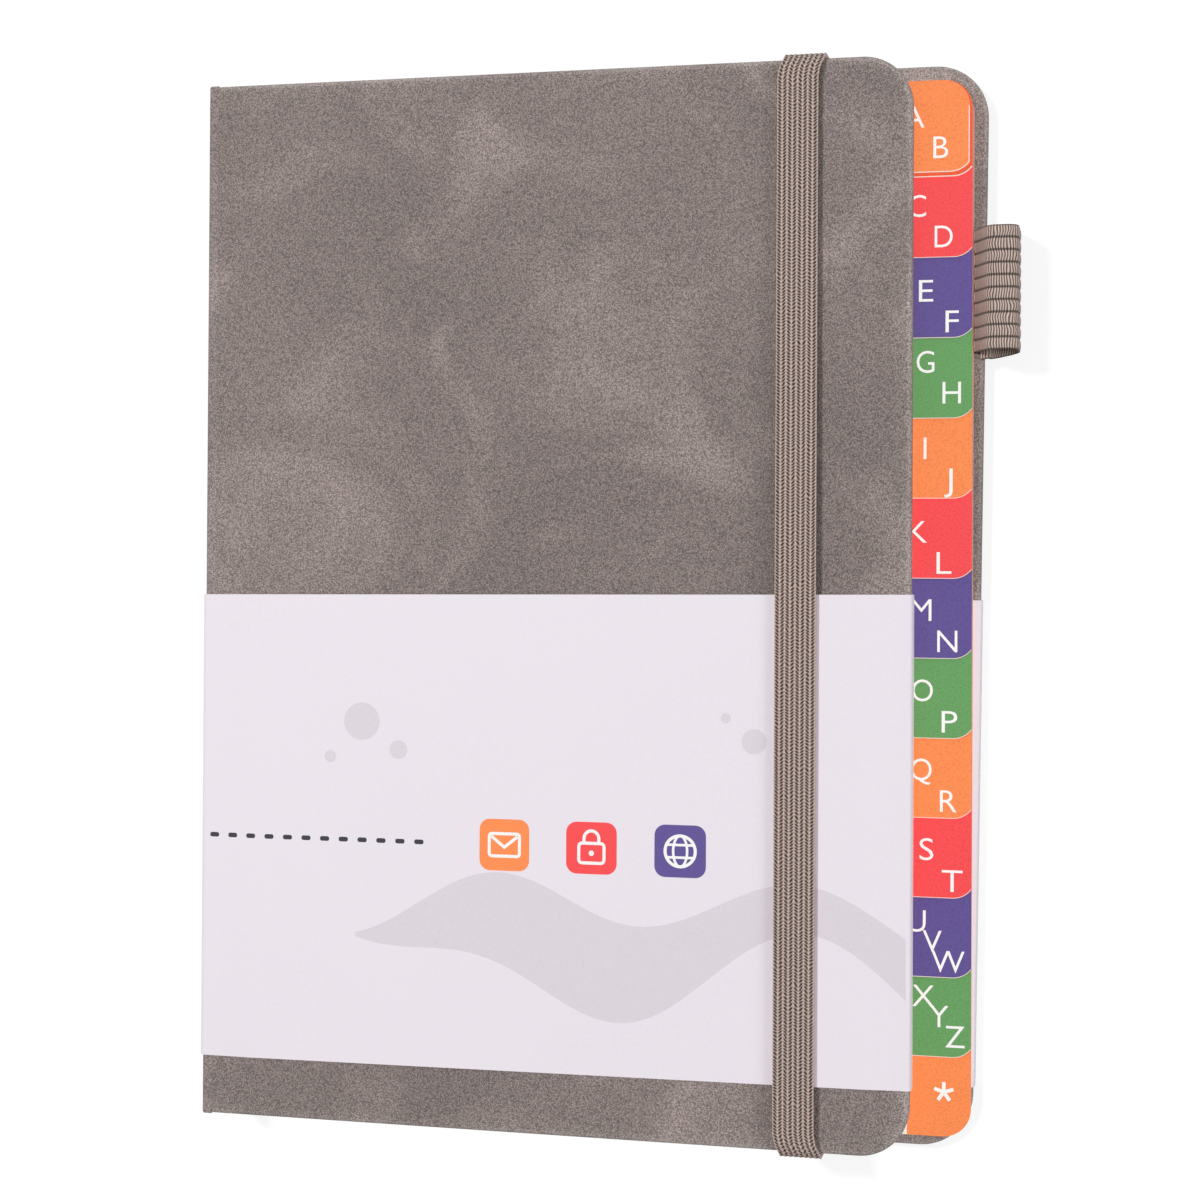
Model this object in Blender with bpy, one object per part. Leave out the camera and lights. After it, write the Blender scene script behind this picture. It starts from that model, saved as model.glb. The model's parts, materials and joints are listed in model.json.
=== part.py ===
"""Hardcover address book with stepped index tabs, an elastic strap, a pen loop and a paper belly band.

The book lies closed on its back cover. X runs from the spine to the fore-edge, Y from tail to head and
Z through the thickness. Lengths are metres. Shapes are written in book coordinates, with x = 0 on the
outer face of the spine, and an empty then carries the whole book to the middle of its own box.
"""

from dataclasses import dataclass
from math import cos, pi, radians, sin, sqrt

import bmesh
import bpy
from mathutils import Vector

# Case: two covers and the spine between them
CASE_HEIGHT = 0.190
BACK_WIDTH = 0.1423
BACK_LEAN = 0.0023
FRONT_WIDTH = 0.1300
BACK_CORNER_RADIUS = 0.0094
FRONT_CORNER_RADIUS = 0.0088
EDGE_ROUND = 0.0008
SKIN = 0.00045
BOARD = 0.0018
TURN_IN = 0.014
PASTEDOWN = 0.00015
PASTEDOWN_MARGIN = 0.004
SPINE_LINER = 0.0006
SPINE_TURN_IN = 0.010

# Text block: tab leaves and page stacks
HEAD_SQUARE = 0.0040
TAIL_SQUARE = 0.0021
FORE_EDGE_SQUARE = 0.0024
TAB_STRIP_WIDTH = 0.0109
PAGE_CORNER_RADIUS = 0.005
TAB_CORNER_RADIUS = 0.0040
TAB_CORNER_TURN = 53.0
TAB_LEAF = 0.00016
PAGE_STACK = 0.00016
FRONT_PAGES = 0.0003
REAR_FLYLEAF = 0.00015
TAB_COUNT = 13
FIRST_TAB_HEIGHT = 0.0168

# Belly band: one strip of paper folded round both fore-edges
BAND = 0.0002
BAND_HEIGHT = 0.0850
BAND_ABOVE_TAIL = 0.0108
BAND_FLAP = 0.045

# Elastic strap and its glued ends
STRAP_WIDTH = 0.0077
STRAP_THICKNESS = 0.0008
STRAP_BEND_RADIUS = 0.0009
STRAP_TO_FRONT_EDGE = 0.0195
STRAP_END_LENGTH = 0.012

# Pen loop: a folded piece of the same elastic
PEN_LOOP_HEIGHT = 0.0215
PEN_LOOP_BELOW_HEAD = 0.0293
PEN_LOOP_THICKNESS = 0.0006
PEN_LOOP_REACH = 0.0056
PEN_LOOP_DEPTH = 0.0094
PEN_LOOP_CORNER_RADIUS = 0.0021
PEN_LOOP_TAIL = 0.0036
PEN_LOOP_TAIL_BEND = 0.0008
PEN_LOOP_RAISE = 0.0003

# Clearances
GAP = 0.0001
LEAF_GAP = 0.00006
SIDE_GAP = 0.0003
SPINE_GAP = 0.0006
FOLD_GAP = 0.0001
CUT_MARGIN = 0.001
WELD = 0.000001

# Fineness of round shapes
CORNER_STEPS = 8
EDGE_STEPS = 3
BEND_STEPS = 6

# Colours, as plain linear red, green and blue
LEATHER = (0.262, 0.220, 0.199)
ELASTIC = (0.300, 0.255, 0.217)
CREAM_PAPER = (0.870, 0.830, 0.740)
BAND_PAPER = (0.840, 0.780, 0.840)
GREY_BOARD = (0.420, 0.390, 0.350)
TAB_COLOURS = {
    "tab_orange": (0.980, 0.280, 0.080),
    "tab_red": (0.930, 0.063, 0.075),
    "tab_purple": (0.102, 0.058, 0.292),
    "tab_green": (0.058, 0.287, 0.069),
}

# Levels measured inwards from the outer face of a cover's skin
BOARD_LEVEL = SKIN + GAP
TURN_IN_LEVEL = BOARD_LEVEL + BOARD + GAP
SHELL_DEPTH = TURN_IN_LEVEL + SKIN
PASTEDOWN_LEVEL = SHELL_DEPTH + GAP
FLAP_LEVEL = PASTEDOWN_LEVEL + PASTEDOWN + GAP
COVER_DEPTH = FLAP_LEVEL + BAND

# Levels through the closed book
BACK_FACE = BAND + GAP
REAR_FLYLEAF_BOTTOM = BACK_FACE + COVER_DEPTH + GAP
SECTIONS_BOTTOM = REAR_FLYLEAF_BOTTOM + REAR_FLYLEAF + LEAF_GAP
SECTION_PITCH = PAGE_STACK + TAB_LEAF + 2 * LEAF_GAP
FRONT_PAGES_BOTTOM = SECTIONS_BOTTOM + TAB_COUNT * SECTION_PITCH
FRONT_FACE = FRONT_PAGES_BOTTOM + FRONT_PAGES + GAP + COVER_DEPTH
STRAP_FACE = FRONT_FACE + GAP + BAND + GAP

# Places across the width
HALF_HEIGHT = CASE_HEIGHT / 2
SPINE_TURN_IN_DEPTH = SKIN + GAP + SPINE_LINER + GAP + SKIN
COVER_START = SPINE_TURN_IN_DEPTH + SIDE_GAP
BINDING_EDGE = SPINE_TURN_IN_DEPTH + SPINE_GAP
TAB_EDGE = BACK_WIDTH - FORE_EDGE_SQUARE
PAGE_EDGE = TAB_EDGE - TAB_STRIP_WIDTH
PAGE_TOP = HALF_HEIGHT - HEAD_SQUARE
PAGE_BOTTOM = TAIL_SQUARE - HALF_HEIGHT
TAB_HEIGHT = (PAGE_TOP - PAGE_BOTTOM - FIRST_TAB_HEIGHT) / (TAB_COUNT - 1)
BAND_BOTTOM = BAND_ABOVE_TAIL - HALF_HEIGHT
BAND_TOP = BAND_BOTTOM + BAND_HEIGHT
STRAP_CENTRE = FRONT_WIDTH - STRAP_TO_FRONT_EDGE
STRAP_LEVEL = BACK_FACE + TURN_IN_LEVEL
STRAP_AXIS = STRAP_LEVEL + SKIN / 2
PEN_LOOP_TIP = BACK_WIDTH + PEN_LOOP_REACH

# The two fold lines of the case lie in the middle of the skin at the spine's outer corners
REAR_JOINT = (SKIN / 2, BACK_FACE + SKIN / 2)
FRONT_JOINT = (SKIN / 2, FRONT_FACE - SKIN / 2)


@dataclass
class Cover:
    """One cover: its outer face, the way inwards, its width, its fore-edge's lean and its corners."""

    name: str
    face: float
    inwards: int
    width: float
    lean: float
    corner: float

    def level(self, depth):
        return self.face + self.inwards * depth

    def fore_edge(self, height):
        """The fore-edge at a height: full width at the head, less by the lean at the tail."""
        return self.width - self.lean * (HALF_HEIGHT - height) / CASE_HEIGHT


BACK = Cover("back", BACK_FACE, 1, BACK_WIDTH, BACK_LEAN, BACK_CORNER_RADIUS)
FRONT = Cover("front", FRONT_FACE, -1, FRONT_WIDTH, 0.0, FRONT_CORNER_RADIUS)


def clear_scene():
    for old in list(bpy.data.objects):
        bpy.data.objects.remove(old)


def make_material(name, colour, roughness):
    material = bpy.data.materials.new(name)
    material.use_nodes = True
    shader = material.node_tree.nodes["Principled BSDF"]
    shader.inputs["Base Color"].default_value = (*colour, 1.0)
    shader.inputs["Roughness"].default_value = roughness
    shader.inputs["Metallic"].default_value = 0.0
    material.diffuse_color = (*colour, 1.0)
    return material


def make_empty(name, pivot, parent):
    """An empty on a joint's axis, in book coordinates, under the book's own empty."""
    empty = bpy.data.objects.new(name, None)
    empty.location = Vector(pivot)
    empty.parent = parent
    bpy.context.collection.objects.link(empty)
    return empty


def loft(name, rings, body, material):
    """Join rings of equal length into one closed solid and hang it on a body's empty."""
    shape = bmesh.new()
    pivot = Vector(body.location)
    loops = []
    for ring in rings:
        loops.append([shape.verts.new(Vector(point) - pivot) for point in ring])
    for lower, upper in zip(loops, loops[1:]):
        for index in range(len(lower)):
            after = (index + 1) % len(lower)
            shape.faces.new((lower[index], lower[after], upper[after], upper[index]))
    shape.faces.new(list(reversed(loops[0])))
    shape.faces.new(loops[-1])
    bmesh.ops.remove_doubles(shape, verts=shape.verts, dist=WELD)
    bmesh.ops.recalc_face_normals(shape, faces=shape.faces)
    mesh = bpy.data.meshes.new(name)
    shape.to_mesh(mesh)
    shape.free()
    mesh.shade_smooth()
    mesh.set_sharp_from_angle(angle=radians(35))
    mesh.materials.append(material)
    item = bpy.data.objects.new(name, mesh)
    item.parent = body
    bpy.context.collection.objects.link(item)
    return item


def cut(item, name, rings, body):
    """Cut a lofted helper out of an item; the helper itself is only a wire guide."""
    helper = loft(name, rings, body, item.data.materials[0])
    helper.hide_render = True
    helper.display_type = "WIRE"
    boolean = item.modifiers.new(name, "BOOLEAN")
    boolean.operation = "DIFFERENCE"
    boolean.solver = "EXACT"
    boolean.object = helper


def arc(centre, radius, start, end, steps):
    """Points of an arc in degrees, both ends included."""
    points = []
    for step in range(steps + 1):
        angle = radians(start + (end - start) * step / steps)
        points.append((centre[0] + radius * cos(angle), centre[1] + radius * sin(angle)))
    return points


def sheet_outline(start, end, bottom, top, radius, lean=0.0):
    """A sheet with square corners at the spine and round ones at the fore-edge."""
    points = [(start, bottom)]
    points += arc((end - lean - radius, bottom + radius), radius, -90, 0, CORNER_STEPS)
    points += arc((end - radius, top - radius), radius, 0, 90, CORNER_STEPS)
    points.append((start, top))
    return points


def at_level(outline, level):
    return [(x, y, level) for x, y in outline]


def flat_sheet(name, outline, bottom, top, body, material):
    return loft(name, [at_level(outline, bottom), at_level(outline, top)], body, material)


def box_rings(low, high):
    """Two square rings that close into a box between two corners."""
    outline = [(low[0], low[1]), (high[0], low[1]), (high[0], high[1]), (low[0], high[1])]
    return [at_level(outline, low[2]), at_level(outline, high[2])]


def cover_outline(cover, start, inset):
    half = HALF_HEIGHT - inset
    return sheet_outline(start, cover.width - inset, -half, half, cover.corner - inset, cover.lean)


def edge_inset(depth):
    """How far the rounded rim of a cover lies inside its full outline at a depth."""
    to_rim = min(depth, SHELL_DEPTH - depth)
    if to_rim >= EDGE_ROUND:
        return 0.0
    return EDGE_ROUND - sqrt(EDGE_ROUND ** 2 - (EDGE_ROUND - to_rim) ** 2)


def rim_depths():
    """Depths that describe the rounded rim, from the outer face to the inner one."""
    outer = [EDGE_ROUND * (1 - cos(pi / 2 * step / EDGE_STEPS)) for step in range(EDGE_STEPS + 1)]
    inner = [SHELL_DEPTH - depth for depth in reversed(outer)]
    return outer + inner


def pocket_outline(cover, inset, corner):
    """The hollow of a cover, which also clears the strip of skin that bends round to the spine."""
    half = HALF_HEIGHT - inset
    wall = HALF_HEIGHT - SKIN
    beyond = HALF_HEIGHT + CUT_MARGIN
    hollow = sheet_outline(COVER_START, cover.width - inset, -half, half, corner, cover.lean)
    below = [(-CUT_MARGIN, -beyond), (COVER_START, -beyond), (COVER_START, -wall)]
    above = [(x, -y) for x, y in reversed(below)]
    return below + hollow + above


def build_cover_skin(cover, body, material):
    """Leather shell: outer sheet, rounded edge and turn-in, with the board's pocket cut out of it."""
    rings = []
    for depth in rim_depths():
        rings.append(at_level(cover_outline(cover, FOLD_GAP, edge_inset(depth)), cover.level(depth)))
    skin = loft(cover.name + "_skin", rings, body, material)
    corner = cover.corner - SKIN
    pocket = pocket_outline(cover, SKIN, corner)
    window = pocket_outline(cover, TURN_IN, corner)
    pocket_rings = [
        at_level(pocket, cover.level(SKIN)),
        at_level(pocket, cover.level(TURN_IN_LEVEL)),
        at_level(window, cover.level(TURN_IN_LEVEL)),
        at_level(window, cover.level(SHELL_DEPTH + CUT_MARGIN)),
    ]
    cut(skin, cover.name + "_pocket", pocket_rings, body)
    return skin


def build_cover_inside(cover, body, materials):
    """The stiff board in the pocket and the endpaper glued over it."""
    board = cover_outline(cover, COVER_START, SKIN + GAP)
    flat_sheet(cover.name + "_board", board, cover.level(BOARD_LEVEL), cover.level(BOARD_LEVEL + BOARD),
               body, materials["grey_board"])
    paper = cover_outline(cover, COVER_START, PASTEDOWN_MARGIN)
    flat_sheet(cover.name + "_pastedown", paper, cover.level(PASTEDOWN_LEVEL),
               cover.level(PASTEDOWN_LEVEL + PASTEDOWN), body, materials["cream_paper"])


def build_cover_band(cover, body, material):
    """The band over a cover, round its fore-edge and back along the inner face as a flap."""
    outside = -(GAP + BAND)
    inside = FLAP_LEVEL
    start = FRONT_JOINT[0] + FOLD_GAP
    rings = []
    for side in (BAND_BOTTOM, BAND_TOP):
        fold = cover.fore_edge(side) + SIDE_GAP
        flap_end = fold - BAND_FLAP
        profile = [
            (start, outside), (fold + BAND, outside), (fold + BAND, inside + BAND),
            (flap_end, inside + BAND), (flap_end, inside), (fold, inside),
            (fold, outside + BAND), (start, outside + BAND),
        ]
        rings.append([(x, side, cover.level(depth)) for x, depth in profile])
    loft("band_" + cover.name, rings, body, material)


def build_spine(body, materials):
    """Spine skin with its turned-in ends, the card strip inside it and the band's panel over it."""
    low = BACK_FACE + SKIN + FOLD_GAP
    high = FRONT_FACE - SKIN - FOLD_GAP
    pocket_depth = SKIN + 2 * GAP + SPINE_LINER
    pocket_half = HALF_HEIGHT - SKIN
    lip_half = HALF_HEIGHT - SPINE_TURN_IN
    upper = [
        (SPINE_TURN_IN_DEPTH, HALF_HEIGHT), (SPINE_TURN_IN_DEPTH, lip_half), (pocket_depth, lip_half),
        (pocket_depth, pocket_half), (SKIN, pocket_half),
    ]
    profile = [(0.0, -HALF_HEIGHT), (0.0, HALF_HEIGHT)] + upper
    profile += [(x, -y) for x, y in reversed(upper)]
    flat_sheet("spine_skin", profile, low, high, body, materials["leather"])
    liner_half = pocket_half - GAP
    liner = box_rings((SKIN + GAP, -liner_half, low), (SKIN + GAP + SPINE_LINER, liner_half, high))
    loft("spine_liner", liner, body, materials["grey_board"])
    panel = box_rings((-GAP - BAND, BAND_BOTTOM, REAR_JOINT[1]), (-GAP, BAND_TOP, FRONT_JOINT[1]))
    loft("band_spine", panel, body, materials["band_paper"])


def tab_bottom(number):
    """Lower edge of a tab, counted from 1 at the head."""
    return PAGE_TOP - FIRST_TAB_HEIGHT - (number - 1) * TAB_HEIGHT


def tab_leaf_outline(number):
    """A leaf whose coloured strip runs from the head down to the end of its own tab."""
    radius = PAGE_CORNER_RADIUS
    points = [(BINDING_EDGE, PAGE_BOTTOM)]
    lower = tab_bottom(number)
    if number < TAB_COUNT:
        points += arc((PAGE_EDGE - radius, PAGE_BOTTOM + radius), radius, -90, 0, CORNER_STEPS)
        points.append((PAGE_EDGE, lower))
        corner, turn = TAB_CORNER_RADIUS, TAB_CORNER_TURN
    else:
        corner, turn = radius, 90.0
    reach = corner * sin(radians(turn))
    points += arc((TAB_EDGE - reach, lower + corner), corner, -90, turn - 90, CORNER_STEPS)
    points += arc((TAB_EDGE - radius, PAGE_TOP - radius), radius, 0, 90, CORNER_STEPS)
    points.append((BINDING_EDGE, PAGE_TOP))
    return points


def section_bottom(number):
    """Level of a section's lowest page; section 1 lies uppermost, under the front cover."""
    return SECTIONS_BOTTOM + (TAB_COUNT - number) * SECTION_PITCH


def build_text_block(book, materials):
    """Rear flyleaf, thirteen sections of one tab leaf and its pages, and the pages before them."""
    page = sheet_outline(BINDING_EDGE, PAGE_EDGE, PAGE_BOTTOM, PAGE_TOP, PAGE_CORNER_RADIUS)
    cream = materials["cream_paper"]
    rear = make_empty("rear_flyleaf_fold", (BINDING_EDGE, 0.0, REAR_FLYLEAF_BOTTOM), book)
    flat_sheet("rear_flyleaf", page, REAR_FLYLEAF_BOTTOM, REAR_FLYLEAF_BOTTOM + REAR_FLYLEAF, rear, cream)
    colours = list(TAB_COLOURS)
    for number in range(TAB_COUNT, 0, -1):
        bottom = section_bottom(number)
        fold = make_empty("section_%02d_fold" % number, (BINDING_EDGE, 0.0, bottom), book)
        flat_sheet("pages_%02d" % number, page, bottom, bottom + PAGE_STACK, fold, cream)
        leaf_bottom = bottom + PAGE_STACK + LEAF_GAP
        colour = colours[(number - 1) % len(colours)]
        flat_sheet("tab_leaf_%02d" % number, tab_leaf_outline(number), leaf_bottom,
                   leaf_bottom + TAB_LEAF, fold, materials[colour])
    front = make_empty("front_pages_fold", (BINDING_EDGE, 0.0, FRONT_PAGES_BOTTOM), book)
    flat_sheet("front_pages", page, FRONT_PAGES_BOTTOM, FRONT_PAGES_BOTTOM + FRONT_PAGES, front, cream)


def strip_rings(path, thickness, low, high, as_point):
    """Rings of a flat strip that follows a path of (point, outward direction) pairs."""
    rings = []
    for (first, second), (out_first, out_second) in path:
        inner = (first - out_first * thickness / 2, second - out_second * thickness / 2)
        outer = (first + out_first * thickness / 2, second + out_second * thickness / 2)
        rings.append([
            as_point(inner, low), as_point(outer, low), as_point(outer, high), as_point(inner, high),
        ])
    return rings


def bend(centre, radius, start, end):
    """Path points round a bend, with directions that point away from its centre."""
    path = []
    for point in arc(centre, radius, start, end, BEND_STEPS):
        path.append((point, ((point[0] - centre[0]) / radius, (point[1] - centre[1]) / radius)))
    return path


def build_strap(body, material):
    """Elastic bail: a leg at the tail, the run over the front cover and a leg at the head."""
    leg = HALF_HEIGHT + SIDE_GAP + STRAP_THICKNESS / 2
    run = STRAP_FACE + STRAP_THICKNESS / 2
    radius = STRAP_BEND_RADIUS + STRAP_THICKNESS / 2
    path = [((-leg, STRAP_LEVEL), (-1.0, 0.0))]
    path += bend((radius - leg, run - radius), radius, 180, 90)
    path += bend((leg - radius, run - radius), radius, 90, 0)
    path.append(((leg, STRAP_LEVEL), (1.0, 0.0)))
    low = STRAP_CENTRE - STRAP_WIDTH / 2
    high = STRAP_CENTRE + STRAP_WIDTH / 2
    rings = strip_rings(path, STRAP_THICKNESS, low, high, lambda point, x: (x, point[0], point[1]))
    loft("elastic_strap", rings, body, material)


def build_strap_ends(back_skin, body, material):
    """The strap's flat ends, glued in notches of the back turn-in under the endpaper."""
    for name, side in (("head", 1), ("tail", -1)):
        inner = side * (HALF_HEIGHT - STRAP_END_LENGTH)
        outer = side * (HALF_HEIGHT + SIDE_GAP - GAP)
        low = (STRAP_CENTRE - STRAP_WIDTH / 2, min(inner, outer), STRAP_LEVEL)
        high = (STRAP_CENTRE + STRAP_WIDTH / 2, max(inner, outer), STRAP_LEVEL + SKIN)
        loft("strap_end_" + name, box_rings(low, high), body, material)
        notch_low = (low[0] - SIDE_GAP, low[1] - SIDE_GAP, low[2] - GAP)
        notch_high = (high[0] + SIDE_GAP, high[1] + SIDE_GAP, high[2] + CUT_MARGIN)
        cut(back_skin, "notch_" + name, box_rings(notch_low, notch_high), body)


def build_pen_loop(body, material):
    """A strip with its tail on the back turn-in that goes up, round the loop and back to the edge."""
    half = PEN_LOOP_THICKNESS / 2
    high = HALF_HEIGHT - PEN_LOOP_BELOW_HEAD
    low = high - PEN_LOOP_HEIGHT
    edge = BACK.fore_edge(high)
    left = edge + SIDE_GAP + half
    right = PEN_LOOP_TIP - half
    bottom = PEN_LOOP_RAISE + half
    top = PEN_LOOP_RAISE + PEN_LOOP_DEPTH - half
    radius = PEN_LOOP_CORNER_RADIUS - half
    tail_level = BACK_FACE + SHELL_DEPTH + GAP + half
    tail_bend = PEN_LOOP_TAIL_BEND + half
    path = [((edge - PEN_LOOP_TAIL, tail_level), (0.0, 1.0))]
    path += [(point, (-out[0], -out[1]))
             for point, out in bend((left - tail_bend, tail_level + tail_bend), tail_bend, -90, 0)]
    path += bend((left + radius, top - radius), radius, 180, 90)
    path += bend((right - radius, top - radius), radius, 90, 0)
    path += bend((right - radius, bottom + radius), radius, 0, -90)
    path += bend((left + radius, bottom + radius), radius, -90, -180)
    path.append(((left, tail_level - half - GAP), (-1.0, 0.0)))
    rings = strip_rings(path, PEN_LOOP_THICKNESS, low, high, lambda point, y: (point[0], y, point[1]))
    loft("pen_loop", rings, body, material)


def main():
    clear_scene()
    materials = {
        "leather": make_material("leather", LEATHER, 0.62),
        "elastic": make_material("elastic", ELASTIC, 0.80),
        "cream_paper": make_material("cream_paper", CREAM_PAPER, 0.85),
        "band_paper": make_material("band_paper", BAND_PAPER, 0.50),
        "grey_board": make_material("grey_board", GREY_BOARD, 0.90),
    }
    for name, colour in TAB_COLOURS.items():
        materials[name] = make_material(name, colour, 0.55)

    book_middle = (PEN_LOOP_TIP - GAP - BAND) / 2
    book = make_empty("book", (-book_middle, 0.0, 0.0), None)
    back_body = make_empty("back_cover", (0.0, 0.0, 0.0), book)
    spine_body = make_empty("spine_fold", (REAR_JOINT[0], 0.0, REAR_JOINT[1]), book)
    front_body = make_empty("front_cover_fold", (FRONT_JOINT[0], 0.0, FRONT_JOINT[1]), book)
    strap_body = make_empty("strap_pivot", (STRAP_CENTRE, 0.0, STRAP_AXIS), book)

    back_skin = build_cover_skin(BACK, back_body, materials["leather"])
    build_cover_inside(BACK, back_body, materials)
    build_cover_band(BACK, back_body, materials["band_paper"])
    build_strap_ends(back_skin, back_body, materials["elastic"])
    build_pen_loop(back_body, materials["elastic"])
    build_spine(spine_body, materials)
    build_cover_skin(FRONT, front_body, materials["leather"])
    build_cover_inside(FRONT, front_body, materials)
    build_cover_band(FRONT, front_body, materials["band_paper"])
    build_text_block(book, materials)
    build_strap(strap_body, materials["elastic"])


main()
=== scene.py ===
"""Looks of the address book: leather case, woven elastic, index tabs, paper band, camera and light."""
import json
import math

import bmesh
import bpy
from mathutils import Matrix, Vector
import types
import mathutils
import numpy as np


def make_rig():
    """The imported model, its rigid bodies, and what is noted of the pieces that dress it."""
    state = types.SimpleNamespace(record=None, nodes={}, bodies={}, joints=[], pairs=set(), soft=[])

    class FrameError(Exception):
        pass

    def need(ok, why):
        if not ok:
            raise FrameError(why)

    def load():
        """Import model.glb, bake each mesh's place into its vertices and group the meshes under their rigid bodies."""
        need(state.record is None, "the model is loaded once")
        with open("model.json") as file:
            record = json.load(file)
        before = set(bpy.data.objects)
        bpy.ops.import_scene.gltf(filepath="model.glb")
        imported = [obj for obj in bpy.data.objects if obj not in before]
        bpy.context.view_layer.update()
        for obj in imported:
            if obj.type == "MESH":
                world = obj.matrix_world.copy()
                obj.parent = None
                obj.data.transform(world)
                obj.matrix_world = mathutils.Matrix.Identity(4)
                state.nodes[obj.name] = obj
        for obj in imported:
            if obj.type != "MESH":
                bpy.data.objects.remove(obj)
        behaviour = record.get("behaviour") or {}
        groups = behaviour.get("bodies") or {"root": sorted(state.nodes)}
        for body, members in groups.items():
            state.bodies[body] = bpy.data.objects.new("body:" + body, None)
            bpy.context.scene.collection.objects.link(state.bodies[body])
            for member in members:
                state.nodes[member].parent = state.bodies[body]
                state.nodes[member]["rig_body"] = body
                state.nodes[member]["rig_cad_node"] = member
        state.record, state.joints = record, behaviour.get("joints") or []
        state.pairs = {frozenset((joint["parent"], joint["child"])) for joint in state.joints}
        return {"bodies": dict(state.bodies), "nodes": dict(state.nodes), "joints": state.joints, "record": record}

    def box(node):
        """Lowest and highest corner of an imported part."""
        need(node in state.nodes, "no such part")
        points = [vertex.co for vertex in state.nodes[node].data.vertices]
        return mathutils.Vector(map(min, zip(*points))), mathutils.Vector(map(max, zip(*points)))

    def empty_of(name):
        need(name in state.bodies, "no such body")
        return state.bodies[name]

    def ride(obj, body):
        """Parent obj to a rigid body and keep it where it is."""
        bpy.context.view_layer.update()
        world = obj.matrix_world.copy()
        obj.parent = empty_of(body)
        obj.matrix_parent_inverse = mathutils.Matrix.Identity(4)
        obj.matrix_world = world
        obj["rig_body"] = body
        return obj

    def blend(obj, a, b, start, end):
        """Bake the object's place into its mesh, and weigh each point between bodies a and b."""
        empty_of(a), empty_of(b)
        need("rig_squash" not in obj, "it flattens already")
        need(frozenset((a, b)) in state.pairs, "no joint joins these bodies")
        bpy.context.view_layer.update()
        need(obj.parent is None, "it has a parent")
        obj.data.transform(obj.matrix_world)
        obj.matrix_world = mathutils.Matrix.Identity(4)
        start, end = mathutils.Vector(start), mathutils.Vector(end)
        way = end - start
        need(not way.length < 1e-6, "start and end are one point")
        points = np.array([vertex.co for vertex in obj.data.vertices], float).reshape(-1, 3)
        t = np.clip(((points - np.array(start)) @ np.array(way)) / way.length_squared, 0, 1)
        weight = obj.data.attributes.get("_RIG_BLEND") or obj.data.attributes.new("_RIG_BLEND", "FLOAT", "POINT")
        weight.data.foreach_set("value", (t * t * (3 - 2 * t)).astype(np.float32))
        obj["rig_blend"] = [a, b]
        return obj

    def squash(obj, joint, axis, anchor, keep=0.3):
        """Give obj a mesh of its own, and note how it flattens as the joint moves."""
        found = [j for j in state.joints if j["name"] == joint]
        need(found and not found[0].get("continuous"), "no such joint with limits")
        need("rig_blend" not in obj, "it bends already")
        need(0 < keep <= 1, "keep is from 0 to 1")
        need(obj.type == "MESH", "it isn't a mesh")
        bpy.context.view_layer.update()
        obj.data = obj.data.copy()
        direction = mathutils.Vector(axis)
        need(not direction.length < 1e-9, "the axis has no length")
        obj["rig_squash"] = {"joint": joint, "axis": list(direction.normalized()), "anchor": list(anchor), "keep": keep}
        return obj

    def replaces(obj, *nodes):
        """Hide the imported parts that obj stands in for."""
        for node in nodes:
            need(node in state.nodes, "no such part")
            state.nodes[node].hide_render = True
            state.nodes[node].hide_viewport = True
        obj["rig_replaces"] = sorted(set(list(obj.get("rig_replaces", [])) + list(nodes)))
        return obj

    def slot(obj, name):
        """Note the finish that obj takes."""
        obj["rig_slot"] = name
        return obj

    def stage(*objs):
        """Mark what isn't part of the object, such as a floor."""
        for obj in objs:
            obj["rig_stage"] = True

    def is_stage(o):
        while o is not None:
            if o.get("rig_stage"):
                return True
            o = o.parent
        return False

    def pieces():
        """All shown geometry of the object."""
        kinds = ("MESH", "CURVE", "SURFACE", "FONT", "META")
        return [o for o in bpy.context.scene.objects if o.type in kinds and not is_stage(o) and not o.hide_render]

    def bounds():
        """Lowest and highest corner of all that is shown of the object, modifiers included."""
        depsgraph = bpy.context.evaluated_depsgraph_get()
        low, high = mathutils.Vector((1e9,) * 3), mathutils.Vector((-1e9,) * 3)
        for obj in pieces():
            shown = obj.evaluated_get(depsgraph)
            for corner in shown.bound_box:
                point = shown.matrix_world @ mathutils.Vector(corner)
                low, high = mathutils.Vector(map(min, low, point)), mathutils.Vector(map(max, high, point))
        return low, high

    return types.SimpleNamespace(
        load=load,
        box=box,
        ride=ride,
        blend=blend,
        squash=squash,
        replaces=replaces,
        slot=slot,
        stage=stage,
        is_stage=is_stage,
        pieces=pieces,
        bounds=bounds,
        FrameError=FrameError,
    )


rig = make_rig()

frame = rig.load()
CAD_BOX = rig.bounds()

MM = 0.001

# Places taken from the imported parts
SPINE_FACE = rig.box("spine_skin")[0].x
SPINE_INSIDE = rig.box("spine_skin")[1].x
BACK_LOW, BACK_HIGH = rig.box("back_skin")
FRONT_LOW, FRONT_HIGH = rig.box("front_skin")
HALF_HEIGHT = FRONT_HIGH.y
COVER_START = SPINE_INSIDE + 0.3 * MM
COVER_THICKNESS = FRONT_HIGH.z - FRONT_LOW.z
BAND_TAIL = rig.box("band_front")[0].y
BAND_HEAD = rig.box("band_front")[1].y
PAGE_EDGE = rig.box("front_pages")[1].x
TAB_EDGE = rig.box("tab_leaf_01")[1].x
TAB_ROOT = PAGE_EDGE - 0.2 * MM

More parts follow.
